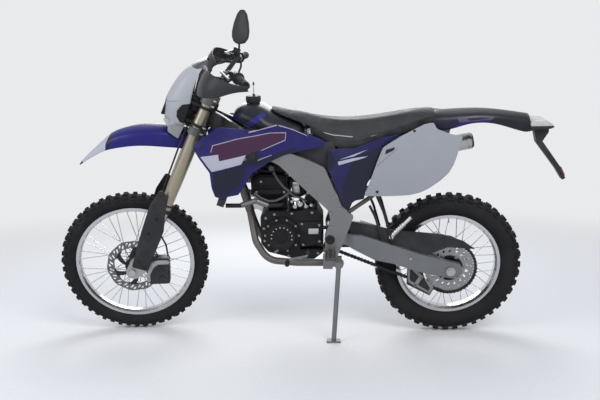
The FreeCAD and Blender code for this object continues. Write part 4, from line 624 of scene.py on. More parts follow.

# Radiator shrouds: deep blue moulded wings that stand off the tank, with a white flash, dark
# lower cheeks set back a little, thin speed lines, a plain plum band, a painted highlight along
# the top edge and black quarter-turn fasteners.
BLUE = (0.010, 0.0075, 0.088)
shroud_blue = finish("shroud_blue", BLUE, 0.36, coat=0.12, dust=0.05)
NAVY = (0.008, 0.009, 0.024)
# Pale print on the shrouds, also used for the painted highlight along their top edge.
PALE_PRINT_AND_HIGHLIGHT = (0.34, 0.30, 0.36)
WHITE = (0.36, 0.37, 0.44)
PLUM = (0.045, 0.014, 0.045)
graphics(shroud_blue, bike, (
    (PALE_PRINT_AND_HIGHLIGHT, [(318, 924), (308, 955), (201, 981), (60, 1000), (-8, 998), (-4, 962), (95, 925)]),
    (PLUM, [(315, 924), (305, 952), (201, 978), (60, 997), (-5, 994), (-1, 965), (95, 928)]),
    (PLUM, [(315, 924), (95, 928), (171, 906), (282, 884), (312, 906)]),
    (WHITE, [(364, 903), (284, 914), (280, 845), (317, 836)]),
    (WHITE, [(285, 884), (166, 908), (188, 867), (284, 844)]),
    (NAVY, [(313, 831), (196, 861), (166, 838), (196, 772), (254, 726), (305, 718), (318, 732)]),
    (NAVY, [(116, 880), (57, 899), (-56, 942), (-50, 915), (100, 860), (160, 845)]),
    (NAVY, [(166, 908), (116, 925), (105, 895), (120, 875), (180, 845), (188, 867)]),
    # Painted highlight: three thin pale strips along the shroud's top edge.
    (PALE_PRINT_AND_HIGHLIGHT, [(152, 1008), (32, 1033.5), (31, 1028), (150, 1003)]),
    (PALE_PRINT_AND_HIGHLIGHT, [(24, 1031), (-37, 1012), (-37, 1008), (25, 1027)]),
    (PALE_PRINT_AND_HIGHLIGHT, [(-37, 1012), (-98, 984), (-98, 981), (-37, 1008)]),
    (PALE_PRINT_AND_HIGHLIGHT, [(116, 884), (57, 903), (57, 900), (116, 880)]),
    (PALE_PRINT_AND_HIGHLIGHT, [(168, 896), (188, 889), (188, 887), (168, 893.5)]),
    (PALE_PRINT_AND_HIGHLIGHT, [(166, 890), (190, 882), (190, 880), (166, 887.5)])))
SHROUD_SIDE = (
    (279, 1031), (358, 981), (394, 950), (395, 934), (372, 897), (328, 834), (324, 762),
    (312, 719), (293, 712), (208, 726), (183, 762), (145, 822), (70, 869), (3, 897),
    (-54, 912), (-165, 935), (-182, 955), (-149, 971), (-48, 1008), (26, 1034), (113, 1013),
)
SHROUD_PLAN = ((397, 176), (368, 190), (340, 196), (300, 198), (250, 198), (190, 190),
               (120, 178), (60, 160), (30, 150), (10, 145.3), (-190, 145.3))


def line_at(line, x):
    """How far out a line of (x, out) is at x, straight between its corners."""
    spots = sorted(line)
    x = min(max(x, spots[0][0]), spots[-1][0])
    for (x0, y0), (x1, y1) in zip(spots, spots[1:]):
        if x <= x1:
            return y0 + (y1 - y0) * (x - x0) / (x1 - x0)
    return spots[-1][1]


def ease(value):
    """0 below 0, 1 above 1, and smooth between them."""
    value = min(max(value, 0), 1)
    return value * value * (3 - 2 * value)


def outwards(mesh, side):
    """Turns a sheet whose faces look the wrong way along an axis."""
    if sum(face.normal[side] * face.calc_area() for face in mesh.faces) < 0:
        bmesh.ops.reverse_faces(mesh, faces=mesh.faces)


def panel(mesh, outline, out_at, step=13, corner=5):
    """A sheet cut to an outline seen from the side, bent to lie at out_at(x, z)."""
    mesh.faces.new([mesh.verts.new((x, 0, z)) for x, z in outline])
    bmesh.ops.bevel(mesh, geom=mesh.verts[:], offset=corner, segments=3, profile=0.5,
                    affect="VERTICES", material=-1, clamp_overlap=True)
    for axis, cut in ((0, Vector((1, 0, 0))), (2, Vector((0, 0, 1)))):
        values = [point.co[axis] for point in mesh.verts]
        for count in range(int(min(values) // step) + 1, int(max(values) // step) + 1):
            bmesh.ops.bisect_plane(mesh, geom=mesh.verts[:] + mesh.edges[:] + mesh.faces[:],
                                   plane_co=cut * count * step, plane_no=cut)
    for point in mesh.verts:
        point.co.y = out_at(point.co.x, point.co.z)
    mesh.normal_update()
    outwards(mesh, 1)


def walled(made, wall, edge=0.0012):
    """Gives a skin its thickness, inwards, in metres, and rounds its edges."""
    thick = made.modifiers.new("wall", "SOLIDIFY")
    thick.thickness = wall
    thick.offset = -1
    if edge:
        round_off = made.modifiers.new("eased", "BEVEL")
        round_off.width = edge
        round_off.segments = 2
        round_off.limit_method = "ANGLE"
        round_off.angle_limit = math.radians(38)


def panels(name, outline, out_at, wall, surface, body, instead=(), step=13, corner=5,
           angle=50):
    """A left and a right panel, each a sheet with its wall."""
    sheet = bmesh.new()
    panel(sheet, outline, out_at, step, corner)
    both_sides(sheet)
    walled(piece(name, sheet, surface, body, instead, angle), wall)


def shroud_out(x, z):
    """The shroud's outer face: bowed at the front, set back under the flash, creased above."""
    free = ease((x - 10) / 90)
    bow = 0.00042 * (z - 900) ** 2 * free
    cheek = 5 * ease((867 - (x - 188) * 0.24 - z) / 9) * free
    crease = 4 * ease((z - 1000 + (x - 30) * 0.16) / 16) * free
    return line_at(SHROUD_PLAN, x) - bow - cheek - crease


panels("radiator_shrouds", SHROUD_SIDE, shroud_out, 0.0042, shroud_blue, "chassis",
       ("shrouds",))
turns = bmesh.new()
for x, z, radius in ((137, 905, 15), (356, 946, 7), (222, 735, 7), (-160, 952, 6)):
    out = shroud_out(x, z)
    rod(turns, (x, out - 2, z), (x, out + 3, z), radius, 32, radius - 2)
    block(turns, (x, out + 3.4, z), (radius * 1.3, 2.4, radius * 0.3), 0.6)
both_sides(turns)
piece("shroud_fasteners", turns, plastic_black, "chassis")

# Side panels under the seat: the same blue plastic, with two white slashes, clipped over the
# frame's plates.
side_blue = finish("side_blue", (0.010, 0.010, 0.062), 0.36, coat=0.12, dust=0.05)
graphics(side_blue, bike, (
    (NAVY, [(-300, 880), (-420, 930), (-400, 840), (-340, 690), (-260, 655), (-250, 760)]),
    (NAVY, [(-184, 915), (-200, 915), (-222, 860), (-200, 820), (-180, 836)]),
    (WHITE, [(-229, 871), (-234, 848), (-344, 880), (-389, 900), (-300, 880)]),
    (WHITE, [(-232, 872), (-300, 896), (-364, 919), (-300, 888)])))
PANEL_SIDE = (
    (-187, 921), (-306, 924), (-413, 966), (-503, 983), (-420, 924), (-409, 884), (-387, 804),
    (-360, 767), (-345, 694), (-306, 686), (-263, 653), (-185, 836),
)
panels("side_covers", PANEL_SIDE,
       lambda x, z: 138.5 - 5 * ease((-330 - x) / 60) - 3 * ease((z - 905) / 12), 0.0035,
       side_blue, "chassis", ("side_panels",), corner=3)

# Seat base: the black plastic tray that the foam sits in, bolted to the rails. Its rim shows
# under the cover. Each of the seat's sections has its place ahead, its bottom and top, and its
# half width at the bottom and the top.
SEAT = ((64, 1079, 1091, 50, 38), (46, 1070, 1088, 58, 44), (20, 1058, 1081, 66, 50),
        (-22, 1042, 1069, 73, 56), (-64, 1028, 1061, 82, 62), (-110, 1010, 1047, 91, 69),
        (-150, 992, 1038, 100, 76), (-200, 965, 1031, 109, 85), (-243, 940, 1028, 116, 92),
        (-322, 940, 1029, 119, 97), (-380, 961, 1034, 115, 95), (-421, 980, 1040, 111, 91),
        (-490, 1000, 1051, 103, 85), (-560, 1021, 1063, 94, 78), (-620, 1041, 1070, 82, 68),
        (-657, 1053, 1073, 74, 60))
RIM = [(x, bottom + 6) for x, bottom, _, _, _ in SEAT if x < -100] + [(-700, 1056)]
panels("seat_base_rim", RIM + [(x, z - 30) for x, z in reversed(RIM)],
       lambda x, z: line_at([(row[0], row[3]) for row in SEAT], x) + 1.5, 0.003, plastic_black,
       "chassis", step=24, corner=2, angle=60)

# Trim under the tank: a dark grey moulded plate each side, clipped between the shroud's tail and
# the side panel to close the gap over the frame.
infill_grey = finish("infill_grey", (0.028, 0.028, 0.034), 0.5, dust=0.12)
gusset = bmesh.new()
for low, high in ((108, 112), (-112, -108)):
    prism(gusset, ((-16, 900), (-60, 938), (-215, 950), (-222, 900), (-216, 824), (-190, 818),
                   (-150, 848), (-60, 888)), low, high, 1)
piece("tank_side_trim", gusset, infill_grey, "chassis")

# Air box: a black moulded box bolted between the seat's rails, seen only in the gaps round the
# panels.
box = bmesh.new()
prism(box, ((-84, 968), (-150, 984), (-243, 932), (-322, 932), (-421, 972), (-560, 1012),
            (-560, 985), (-421, 940), (-322, 900), (-190, 900), (-110, 914)), -84, 84, 5)
piece("air_box_lid", box, plastic_black, "chassis")

# Number plates: thin white plastic, a little dusty, bowed outwards, with a three-cornered slot,
# black screws and a line of painted shade along the step of the flange. They are blank.
plate_white = finish("plate_white", (0.27, 0.28, 0.31), 0.45, coat=0.05, dust=0.25)
graphics(plate_white, bike, (
    ((0.012, 0.012, 0.014), [(-434, 898), (-438, 919), (-477, 932), (-470, 917)]),
    # Painted shade: a thin grey line along the step of the flange.
    ((0.2, 0.205, 0.22), [(-403, 846), (-489, 925), (-484, 926), (-398, 850)])))
PLATE_SIDE = (
    (-639, 1035), (-599, 1029), (-502, 979), (-426, 930), (-410, 892), (-346, 707), (-473, 711),
    (-540, 715), (-590, 727), (-628, 747), (-672, 778), (-709, 813), (-730, 850), (-740, 880),
    (-756, 940), (-765, 974), (-712, 985), (-652, 1008),
)
PLATE_PLAN = ((-335, 142), (-380, 151), (-420, 158), (-490, 161.5), (-560, 163), (-620, 162),
              (-680, 158), (-730, 153), (-780, 148))


def plate_out(x, z):
    """The number plate's outer face, bowed from top to bottom, with a shallow flange in front."""
    step = 2.5 * ease((-(z - 846) * 0.73 - (x + 403) * 0.68 + 3) / -7)
    return line_at(PLATE_PLAN, x) - 0.0003 * (z - 870) ** 2 - step


panels("blank_number_plates", PLATE_SIDE, plate_out, 0.003, plate_white, "chassis",
       ("number_plates",), corner=7)
screws = bmesh.new()
for x, z, radius in ((-558, 1000, 6.5), (-403, 729, 7.5)):
    out = plate_out(x, z)
    rod(screws, (x, out - 2, z), (x, out + 2.5, z), radius, 24, radius - 2)
both_sides(screws)
piece("plate_screws", screws, plastic_black, "chassis")

# Rear fender: one crowned plastic moulding bolted under the seat's end, blue at its front foot
# and lower edge and black behind, with a pale flash.
rear_blue = finish("rear_blue", (0.006, 0.006, 0.012), 0.34, coat=0.15, dust=0.05)
graphics(rear_blue, bike, (
    ((0.010, 0.009, 0.10), [(-695, 960), (-660, 990), (-757, 1023), (-900, 1040), (-884, 1020),
                            (-800, 980)]),
    (NAVY, [(-640, 1052), (-752, 1053), (-757, 1023), (-695, 975), (-640, 975)]),
    ((0.07, 0.06, 0.10), [(-748, 1040), (-823, 1048), (-908, 1043), (-900, 1033), (-757, 1023)]),
    ((0.015, 0.013, 0.03), [(-790, 1040), (-850, 1043), (-890, 1038), (-800, 1029)])))
# How far ahead, top, half width, drop of the sides
REAR_FENDER = ((-644, 1061, 82, 66), (-658.5, 1065, 86, 76), (-700, 1067, 90, 79),
               (-746, 1069, 92, 68), (-800, 1070, 91, 52), (-855, 1070, 88, 48),
               (-910, 1067, 83, 51), (-965, 1061, 76, 62), (-1020, 1053, 68, 73),
               (-1069, 1045, 60, 78))


def arch(x, top, half, drop):
    """A fender's section: a crowned top and sides that hang and turn in a little."""
    side = [(half, top - drop), (half * 0.99, top - drop * 0.62), (half * 0.94, top - drop * 0.36),
            (half * 0.8, top - drop * 0.2), (half * 0.52, top - drop * 0.09),
            (half * 0.22, top - drop * 0.02)]
    return [(x, y, z) for y, z in side] + [(x, 0, top)] + [
        (x, -y, z) for y, z in reversed(side)]


def moulded(name, mesh, side, wall, surface, body, instead=()):
    """An open moulded shell that faces along an axis, smoothed, with its wall."""
    outwards(mesh, side)
    made = piece(name, mesh, surface, body, instead, 180)
    subdivided(made)
    walled(made, wall, edge=0)


tail = bmesh.new()
skin(tail, [arch(*row) for row in REAR_FENDER], closed=False)
moulded("rear_mudguard", tail, 2, 0.004, rear_blue, "chassis", ("rear_fender",))

# Tail lamp: a clear lens over a black foot, screwed to the fender, and the arm behind it for the
# licence plate, with an amber reflector at its end.
lens_clear = finish("lens_clear", (0.42, 0.42, 0.41), 0.1, coat=1.0, dust=0.2)
glow = bmesh.new()
prism(glow, ((-1072, 994), (-1072, 1019), (-1094, 1024), (-1143, 1020), (-1171, 1003),
             (-1168, 995)), -57, 57, 6)
piece("tail_lens", glow, lens_clear, "chassis", instead=("tail_lamp",))
foot = bmesh.new()
prism(foot, ((-1064, 972), (-1064, 997), (-1173, 997), (-1175, 991), (-1160, 984), (-1100, 982)),
      -58, 58, 3)
piece("tail_lamp_foot", foot, plastic_black, "chassis")
dress(plastic_black, "plate_bracket", "chain_guards", "fork_guards")
reflector_amber = finish("reflector_amber", (0.28, 0.06, 0.02), 0.15, coat=1.0)
button = bmesh.new()
block(button, (-1238, 0, 781), (9, 34, 44), 2.5, Matrix.Rotation(math.radians(27), 4, "Y"))
piece("rear_reflector", button, reflector_amber, "chassis")

# Seat: long foam under one tight cover of dark grey vinyl, stapled to the tray. The foam is blown
# up a little inside its cover, but not at its lower edge, and thin pale lines run along its side,
# painted brighter in front and dimmer behind as painted light.
# Painted light: the seat's pale lines are brighter over the front stretch and dimmer behind.
SEAT_LINE_PAINTED_LIT, SEAT_LINE_PAINTED_DIM = (0.35, 0.35, 0.36), (0.2, 0.2, 0.21)
seat_vinyl = finish("seat_vinyl", (0.022, 0.023, 0.027), 0.55, grain=1400, depth=0.00022,
                    dust=0.12)
tree = seat_vinyl.node_tree
shader = tree.nodes["Principled BSDF"]
shader.inputs["Sheen Weight"].default_value = 0.25
shader.inputs["Sheen Roughness"].default_value = 0.4
graphics(seat_vinyl, bike, (
    (SEAT_LINE_PAINTED_LIT, [(-132, 999), (-210, 978), (-210, 974.5), (-132, 995)]),
    (SEAT_LINE_PAINTED_LIT, [(-210, 978), (-295, 970), (-295, 966.5), (-210, 974.5)]),
    (SEAT_LINE_PAINTED_DIM, [(-374, 972), (-453, 989), (-453, 986), (-374, 969)]),
    (SEAT_LINE_PAINTED_DIM, [(-453, 989), (-527, 1011), (-527, 1008), (-453, 986)])))
foam = bmesh.new()
skin(foam, [[(x, -low, bottom + 1), (x, low, bottom + 1), (x, low * 0.6 + high * 0.4,
             bottom + (top - bottom) * 0.5), (x, high, top - (top - bottom) * 0.2 - 3),
             (x, high * 0.72, top - 5), (x, high * 0.36, top - 1),
             (x, -high * 0.36, top - 1), (x, -high * 0.72, top - 5),
             (x, -high, top - (top - bottom) * 0.2 - 3),
             (x, -low * 0.6 - high * 0.4, bottom + (top - bottom) * 0.5)]
            for x, bottom, top, low, high in SEAT])
seat = piece("seat_cover", foam, seat_vinyl, "chassis", instead=("seat",), angle=180)
HELD_EDGE, MOST_SWELL, LAST_FRAME = 14, 0.007, 20
remesh = seat.modifiers.new("even", "REMESH")
remesh.mode = "VOXEL"
remesh.voxel_size = 0.0055
graph = bpy.context.evaluated_depsgraph_get()
even = bpy.data.meshes.new_from_object(seat.evaluated_get(graph))
seat.modifiers.remove(remesh)
even.materials.clear()
even.materials.append(seat_vinyl)
seat.data = even
start = [corner.co.copy() for corner in even.vertices]
held = seat.vertex_groups.new(name="held")
upright = bike.inverted()
for corner in even.vertices:
    local = upright @ corner.co / MM
    share = (local.z - line_at([(row[0], row[1]) for row in SEAT], local.x)) / HELD_EDGE
    held.add([corner.index], 1 - ease(share), "REPLACE")
cloth = seat.modifiers.new("stuffing", "CLOTH")
cloth.settings.use_pressure = True
cloth.settings.uniform_pressure_force = 4
cloth.settings.effector_weights.gravity = 0
cloth.settings.vertex_group_mass = "held"
cloth.settings.quality = 4
cloth.point_cache.frame_start = 1
cloth.point_cache.frame_end = LAST_FRAME
for moment in range(1, LAST_FRAME + 1):
    bpy.context.scene.frame_set(moment)
graph = bpy.context.evaluated_depsgraph_get()
blown = [corner.co.copy() for corner in seat.evaluated_get(graph).data.vertices]
seat.modifiers.remove(cloth)
bpy.context.scene.frame_set(1)
for corner, before, after in zip(even.vertices, start, blown):
    move = after - before
    corner.co = before + move * min(1, MOST_SWELL / max(move.length, 1e-6))
even.shade_smooth()
subdivided(seat, 1)

# Swingarm: a smooth cast-aluminium arm each side, with the chain's adjusting screws and the
# axle's nuts at its end.
swingarm_grey = finish("swingarm_grey", (0.17, 0.175, 0.185), 0.36, metal=0.6, dust=0.2)
dress(swingarm_grey, "swingarm")
bright_steel = finish("bright_steel", (0.5, 0.49, 0.48), 0.26, metal=1.0, dust=0.05)
dress(bright_steel, "rear_axle", "front_axle")
ends = bmesh.new()
block(ends, (-790, 101, 334), (20, 24, 34), 3)
for start, end, radius, sides in ((-800, -816, 4, 16), (-803, -809, 7.5, 6)):
    rod(ends, (start, 101, 334), (end, 101, 334), radius, sides)
bolt(ends, (-560, 114.2, 400), (0, 1, 0), 5, 4)
both_sides(ends)
piece("chain_adjusters", ends, bright_steel, "chassis")
nut = bmesh.new()
rod(nut, (-742.5, 121, 340), (-742.5, 124, 340), 21, 40)
rod(nut, (-742.5, 123, 340), (-742.5, 131, 340), 17, 6, 16)
both_sides(nut)
piece("rear_axle_nuts", nut, bright_steel, "chassis")

# Chain: riveted steel links, inner and outer plates by turns, run round both sprockets, on whose
# pitch circles its pins lie.
chain_black = finish("chain_black", (0.03, 0.03, 0.031), 0.35, metal=0.8)
LINKS, CHAIN_PITCH, FRONT_TEETH, REAR_TEETH = 114, 15.875, 14, 48
CHAIN_OUT = 70
small, large = (CHAIN_PITCH / 2 / math.sin(math.pi / teeth) for teeth in (FRONT_TEETH, REAR_TEETH))
span = Vector((-742.5, 0, 340)) - SHAFT
slope = math.asin((large - small) / span.length)
reach = math.sqrt(span.length ** 2 - (large - small) ** 2)
ahead_of = (-span).normalized()
turn_back = math.atan2(ahead_of.z, ahead_of.x)
ROUND = (small * (math.pi - 2 * slope), reach, large * (math.pi + 2 * slope), reach)


def on_chain(share):
    """A point of the chain's line, from the top of the front sprocket backwards."""
    def pin(centre, radius, angle):
        return centre + radius * Vector((math.cos(angle), 0, math.sin(angle)))

    front, rear = SHAFT, SHAFT + span
    up = turn_back + math.pi / 2 + slope
    down = turn_back - math.pi / 2 - slope
    way = share % 1 * sum(ROUND)
    if way < ROUND[1]:
        return pin(front, small, up).lerp(pin(rear, large, up), way / reach)
    way -= ROUND[1]
    if way < ROUND[2]:
        return pin(rear, large, up + way / large)
    way -= ROUND[2]
    if way < ROUND[3]:
        return pin(rear, large, down).lerp(pin(front, small, down), way / reach)
    return pin(front, small, down + (way - ROUND[3]) / small)


def stamped(mesh, pattern, place):
    """Puts a copy of a small mesh at a place."""
    known = set(mesh.verts)
    mesh.from_mesh(pattern)
    bmesh.ops.transform(mesh, matrix=place, verts=[
        corner for corner in mesh.verts if corner not in known])


def link(plate_out):
    """Two plates of one link with its rollers, lying along X."""
    mesh = bmesh.new()
    for side in (-1, 1):
        low, high = sorted((side * plate_out, side * (plate_out + 1.8)))
        for x in (0, 16):
            rod(mesh, (x, low, 0), (x, high, 0), 7, 12)
        block(mesh, (8, (low + high) / 2, 0), (16, high - low - 0.1, 9.6), 0)
        rod(mesh, (0, side * 4, 0), (0, side * 9.2, 0), 2.4, 8)
    rod(mesh, (0, -3.2, 0), (0, 3.2, 0), 5.1, 12)
    return drawn("link_pattern", mesh)


wide, narrow = link(6.6), link(4.6)
links = bmesh.new()
for count in range(LINKS):
    here, there = on_chain(count / LINKS), on_chain((count + 1) / LINKS)
    along = (there - here).normalized()
    stamped(links, (wide, narrow)[count % 2], Matrix.Translation(
        here + Vector((0, CHAIN_OUT, 0))) @ Matrix.Rotation(-math.atan2(along.z, along.x), 4, "Y"))
piece("chain_links", links, chain_black, "chassis", instead=("chain",))

# Chain guide and stay: a grey bracket of bent strips bolted under the arm holds the plastic guide
# at the chain's lower run. A plated strut with ribs at its lower end stands on a turned eye.
guide = bmesh.new()
for outline in (((-556, 352), (-572, 352), (-628, 298), (-612, 292)),
                ((-552, 352), (-551, 276), (-560, 272), (-562, 352)),
                ((-551, 276), (-645, 220), (-652, 228), (-556, 286)),
                ((-655, 214), (-672, 250), (-640, 290), (-630, 286), (-655, 246), (-644, 220)),
                ((-606, 306), (-620, 298), (-592, 248), (-576, 258))):
    prism(guide, outline, 85.8, 89.5, 1)
bracket_grey = finish("bracket_grey", (0.2, 0.21, 0.195), 0.4, metal=0.3, dust=0.25)
piece("guide_bracket", guide, bracket_grey, "chassis")
stay = bmesh.new()
stay_foot, stay_top = Vector((-471, 100, 504)), Vector((-559, 100, 594))
rod(stay, stay_foot, stay_top, 8, 24)
for share in (0.1, 0.2, 0.3, 0.4, 0.5, 0.6):
    middle = stay_foot.lerp(stay_top, share)
    rod(stay, middle, stay_foot.lerp(stay_top, share + 0.05), 11, 24)
rod(stay, stay_foot + Vector((0, -9, 0)), stay_foot + Vector((0, 9, 0)), 11, 24)
piece("ribbed_stay", stay, plate_silver, "chassis")
rivets = bmesh.new()
bolts(rivets, ((-562, 344), (-560, 284), (-650, 228), (-640, 282)), 89.4, 4.5, 3)
piece("guide_bolts", rivets, bolt_steel, "chassis")

# Shock absorber: a steel damper in its painted coil spring, pinned under the frame at its top and
# to the swingarm's two link plates at its foot.
spring_grey = finish("spring_grey", (0.2, 0.2, 0.2), 0.35, metal=0.2, coat=0.3)
COIL_RADIUS, COIL_LENGTH, COIL_TURNS, COIL_STEPS = 24.5, 196, 9, 216
coil = bmesh.new()
wire = bmesh.ops.create_circle(coil, radius=5, segments=12,
                               matrix=Matrix.Translation((COIL_RADIUS, 0, 0)))["verts"]
bmesh.ops.spin(coil, geom=wire + coil.edges[:], cent=(0, 0, 0), axis=(0, 0, 1),
               dvec=(0, 0, COIL_LENGTH / COIL_STEPS), angle=2 * math.pi * COIL_TURNS,
               steps=COIL_STEPS, use_merge=False)
bmesh.ops.recalc_face_normals(coil, faces=coil.faces)
lie = pointed((-128, 0, 838), Vector((-130, 0, -368)).normalized(), "Z", "Y")
placed(coil, lie @ Matrix.Translation((0, 0, 83)))
piece("shock_spring", coil, spring_grey, "chassis", angle=80,
      instead=("rear_shock",))
damper = bmesh.new()
for start, end, radius in ((17, 78, 19), (76, 82, 30), (78, 290, 13), (282, 289, 30),
                           (289, 345, 17), (345, 382, 11)):
    rod(damper, (0, 0, start), (0, 0, end), radius, 32)
placed(damper, lie)
rod(damper, (-258, -24, 470), (-258, 24, 470), 14, 32)
for side in (-1, 1):
    low, high = sorted((side * 24.8, side * 31))
    prism(damper, ((-242, 485), (-272, 485), (-301, 475), (-301, 447), (-290, 426), (-241, 426),
                   (-229, 452)), low, high, 2)
    rod(damper, (-286, side * 31, 462), (-286, side * 35, 462), 8, 6)
piece("shock_damper", damper, satin_black, "chassis")

# Levers and pegs: a grey steel gear lever with a ribbed rubber tip, a brake pedal, and wide steel
# pegs with rows of teeth, pinned to the frame.
dress(pipe_grey, "foot_levers")
pads = bmesh.new()
rod(pads, (-0.5, 170, 409), (0.5, 198, 403.5), 9.5, 24)
for out in (174, 180, 186, 192):
    rod(pads, (0, out, 408 - (out - 174) * 0.2), (0, out + 2, 407.6 - (out - 174) * 0.2), 10.4, 24)
rod(pads, (-90, 87, 428), (-90, 100, 428), 12, 24)
rod(pads, (-0.5, -170, 409.5), (0.5, -199, 407.5), 10.5, 6)
piece("lever_pads", pads, rubber_black, "chassis")
peg_steel = finish("peg_steel", (0.09, 0.085, 0.08), 0.45, metal=0.8, dust=0.35)
pegs = bmesh.new()
for x in (-218.5, -173.5):
    block(pegs, (x, 198, 449), (4, 97, 15), 1.2)
for out in range(152, 246, 13):
    block(pegs, (-196, out, 449), (44, 3.6, 13), 0.8)
    for x in (-218.5, -207, -185, -173.5):
        rod(pegs, (x, out, 454), (x, out, 459), 3.4, 6, 1)
block(pegs, (-196, 142, 448), (26, 20, 14), 3)
rod(pegs, (-212, 139, 444), (-180, 139, 444), 5, 16)
both_sides(pegs)
piece("toothed_footpegs", pegs, peg_steel, "chassis", instead=("footpegs",))

# Rear brake: a cast aluminium two-piston caliper bolted to the right arm, with its pad pin above
# the pistons.
caliper_grey = finish("caliper_grey", (0.10, 0.10, 0.105), 0.4, metal=0.5, dust=0.2)
dress(caliper_grey, "rear_caliper", "triple_clamps")
pistons = bmesh.new()
for x, z in ((-684, 412), (-652, 424)):
    rod(pistons, (x, -85.5, z), (x, -91, z), 15, 32, 13)
bolt(pistons, (-668, -85.5, 446), (0, -1, 0), 5, 5)
piece("rear_caliper_pistons", pistons, caliper_grey, "chassis")

# Side stand: a forged steel leg with a wide foot, painted grey, which swings up on a pin through
# the frame's ear.
stand_grey = finish("stand_grey", (0.16, 0.16, 0.165), 0.4, metal=0.5, dust=0.3)
dress(stand_grey, "side_stand")

# Fork: hard-anodised outer tubes with rubber wipers at their ends, bright castings round the
# axle, and black plastic guards bolted to them.
LEG = Vector((22, 98, 0))
fork_beige = finish("fork_beige", (0.30, 0.27, 0.20), 0.3, metal=0.7, coat=0.2,
                    stretch=(1, 1, 0.1), stand=fork)
dress(fork_beige, "fork_tubes")
foot_silver = finish("foot_silver", (0.40, 0.40, 0.41), 0.36, metal=0.9, stand=fork)
dress(foot_silver, "fork_legs")
guard_heads = bmesh.new()
bolts(guard_heads, ((46, -748), (50, -600), (40, -520), (10, -770)), 132, 6, 3)
both_sides(guard_heads)
piece("guard_bolts", guard_heads, satin_black, "steering")
fittings = bmesh.new()
for z in (-43, -73, 61, 87):
    rod(fittings, LEG + Vector((-30, 32, z)), LEG + Vector((-16, 36, z)), 4.5, 12)
rod(fittings, (52.5, 134, -811), (52.5, 139, -811), 18, 40, 16)
bolts(fittings, ((4, -812), (-14, -806)), 128, 5, 5)
both_sides(fittings)
piece("fork_bolts", fittings, bright_steel, "steering")
wipers = bmesh.new()
for z, radius in ((-480, 28.5), (-472, 30), (-446, 28.5)):
    ring = bmesh.ops.create_cone(wipers, cap_ends=False, segments=40, radius1=radius,
                                 radius2=radius, depth=9, matrix=Matrix.Translation(
                                     LEG + Vector((0, 0, z))))["verts"]
    bmesh.ops.solidify(wipers, geom=list({face for corner in ring
                                          for face in corner.link_faces}), thickness=1.5)
both_sides(wipers)
piece("fork_wipers", wipers, rubber_black, "steering")

# Front brake: a dark two-piston caliper behind the left leg, hung on a bright bracket that is
# bolted to the leg's foot, and a hose down the leg.
caliper_dark = finish("caliper_dark", (0.04, 0.04, 0.044), 0.4, metal=0.4, dust=0.15, stand=fork)
dress(caliper_dark, "front_caliper")
pistons = bmesh.new()
prism(pistons, ((-50, -764), (-94, -744), (-127, -822), (-112, -836), (-62, -850), (-44, -806)),
      70, 81, 3.5)
for x, z in ((-74, -776), (-92, -812)):
    rod(pistons, (x, 80, z), (x, 86, z), 15, 36, 13)
    rod(pistons, (x, 86, z), (x, 87, z), 6, 24)
for along in range(4):
    block(pistons, (-116 + along * 3.4, 81, -790 + along * 9), (12, 5, 3), 0.8)
piece("front_caliper_pistons", pistons, caliper_dark, "steering")
bracket = bmesh.new()
prism(bracket, ((-12, -796), (-14, -752), (-34, -734), (-80, -714), (-92, -722), (-88, -734),
                (-46, -752), (-32, -776), (-30, -818), (-44, -846), (-34, -856), (-18, -836)),
      77, 83, 1.5)
bolts(bracket, ((-82, -724), (-34, -844), (-24, -758)), 83, 6, 4)
piece("front_caliper_bracket", bracket, foot_silver, "steering")
dress(rubber_black, "brake_hose")

# Handlebar: a black tube with waffled rubber grips pushed on its ends, clamped perches, a brake
# reservoir on the right and forged levers.
dress(satin_black, "handlebar")
lever_grey = finish("lever_grey", (0.22, 0.22, 0.225), 0.32, metal=0.8, stand=fork)
dress(lever_grey, "hand_controls")
BAR_END, BAR_BEND = Vector((-78, 410, 250)), Vector((-32, 215, 240))
GRIP_START, GRIP_RINGS, RING_PITCH = 284, 24, 4.8


def bar_spot(out):
    """A point on the handlebar's outer stretch."""
    return BAR_BEND.lerp(BAR_END, (out - BAR_BEND.y) / (BAR_END.y - BAR_BEND.y))


sleeves = bmesh.new()
grip_line = (BAR_END - BAR_BEND).normalized()
profile = [(0, 11.3), (0, 25), (3, 26), (6, 24), (7, 17.2)]
for count in range(GRIP_RINGS):
    at = 9 + count * RING_PITCH
    profile += [(at, 15.6), (at + 0.8, 16.9), (at + 3.6, 16.9), (at + 4.4, 15.6)]
profile += [(126, 17), (131, 17.2), (133, 15), (133, 11.3)]
spun(sleeves, profile, 40)
placed(sleeves, pointed(
    BAR_BEND + grip_line * ((GRIP_START - BAR_BEND.y) / grip_line.y), grip_line))
both_sides(sleeves)
piece("waffle_grips", sleeves, rubber_black, "steering",
      instead=("grips",), angle=25)
perches = bmesh.new()
for out in (238, 253):
    rod(perches, bar_spot(out), bar_spot(out + 9), 20.4, 32)
block(perches, bar_spot(250) + Vector((18, 0, 4)), (26, 26, 18), 4)
rod(perches, (-6, 256, 254), (-6, 256, 240), 7, 20)
both_sides(perches)
block(perches, (-22, -250, 272), (34, 46, 26), 5)
block(perches, (-22, -250, 287), (36, 48, 5), 2)
rod(perches, (-22, -250, 248), (-22, -250, 262), 9, 20)
block(perches, (0, 0, 150), (42, 108, 26), 7)
piece("perches_and_reservoir", perches, satin_black, "steering")

# Handguards: thick smooth shields of dark grey plastic, bowed round the levers and run back to
# the bar's ends, on short black steel arms.
guard_grey = finish("guard_grey", (0.014, 0.014, 0.019), 0.42, grain=1500, coat=0.08, stand=fork)
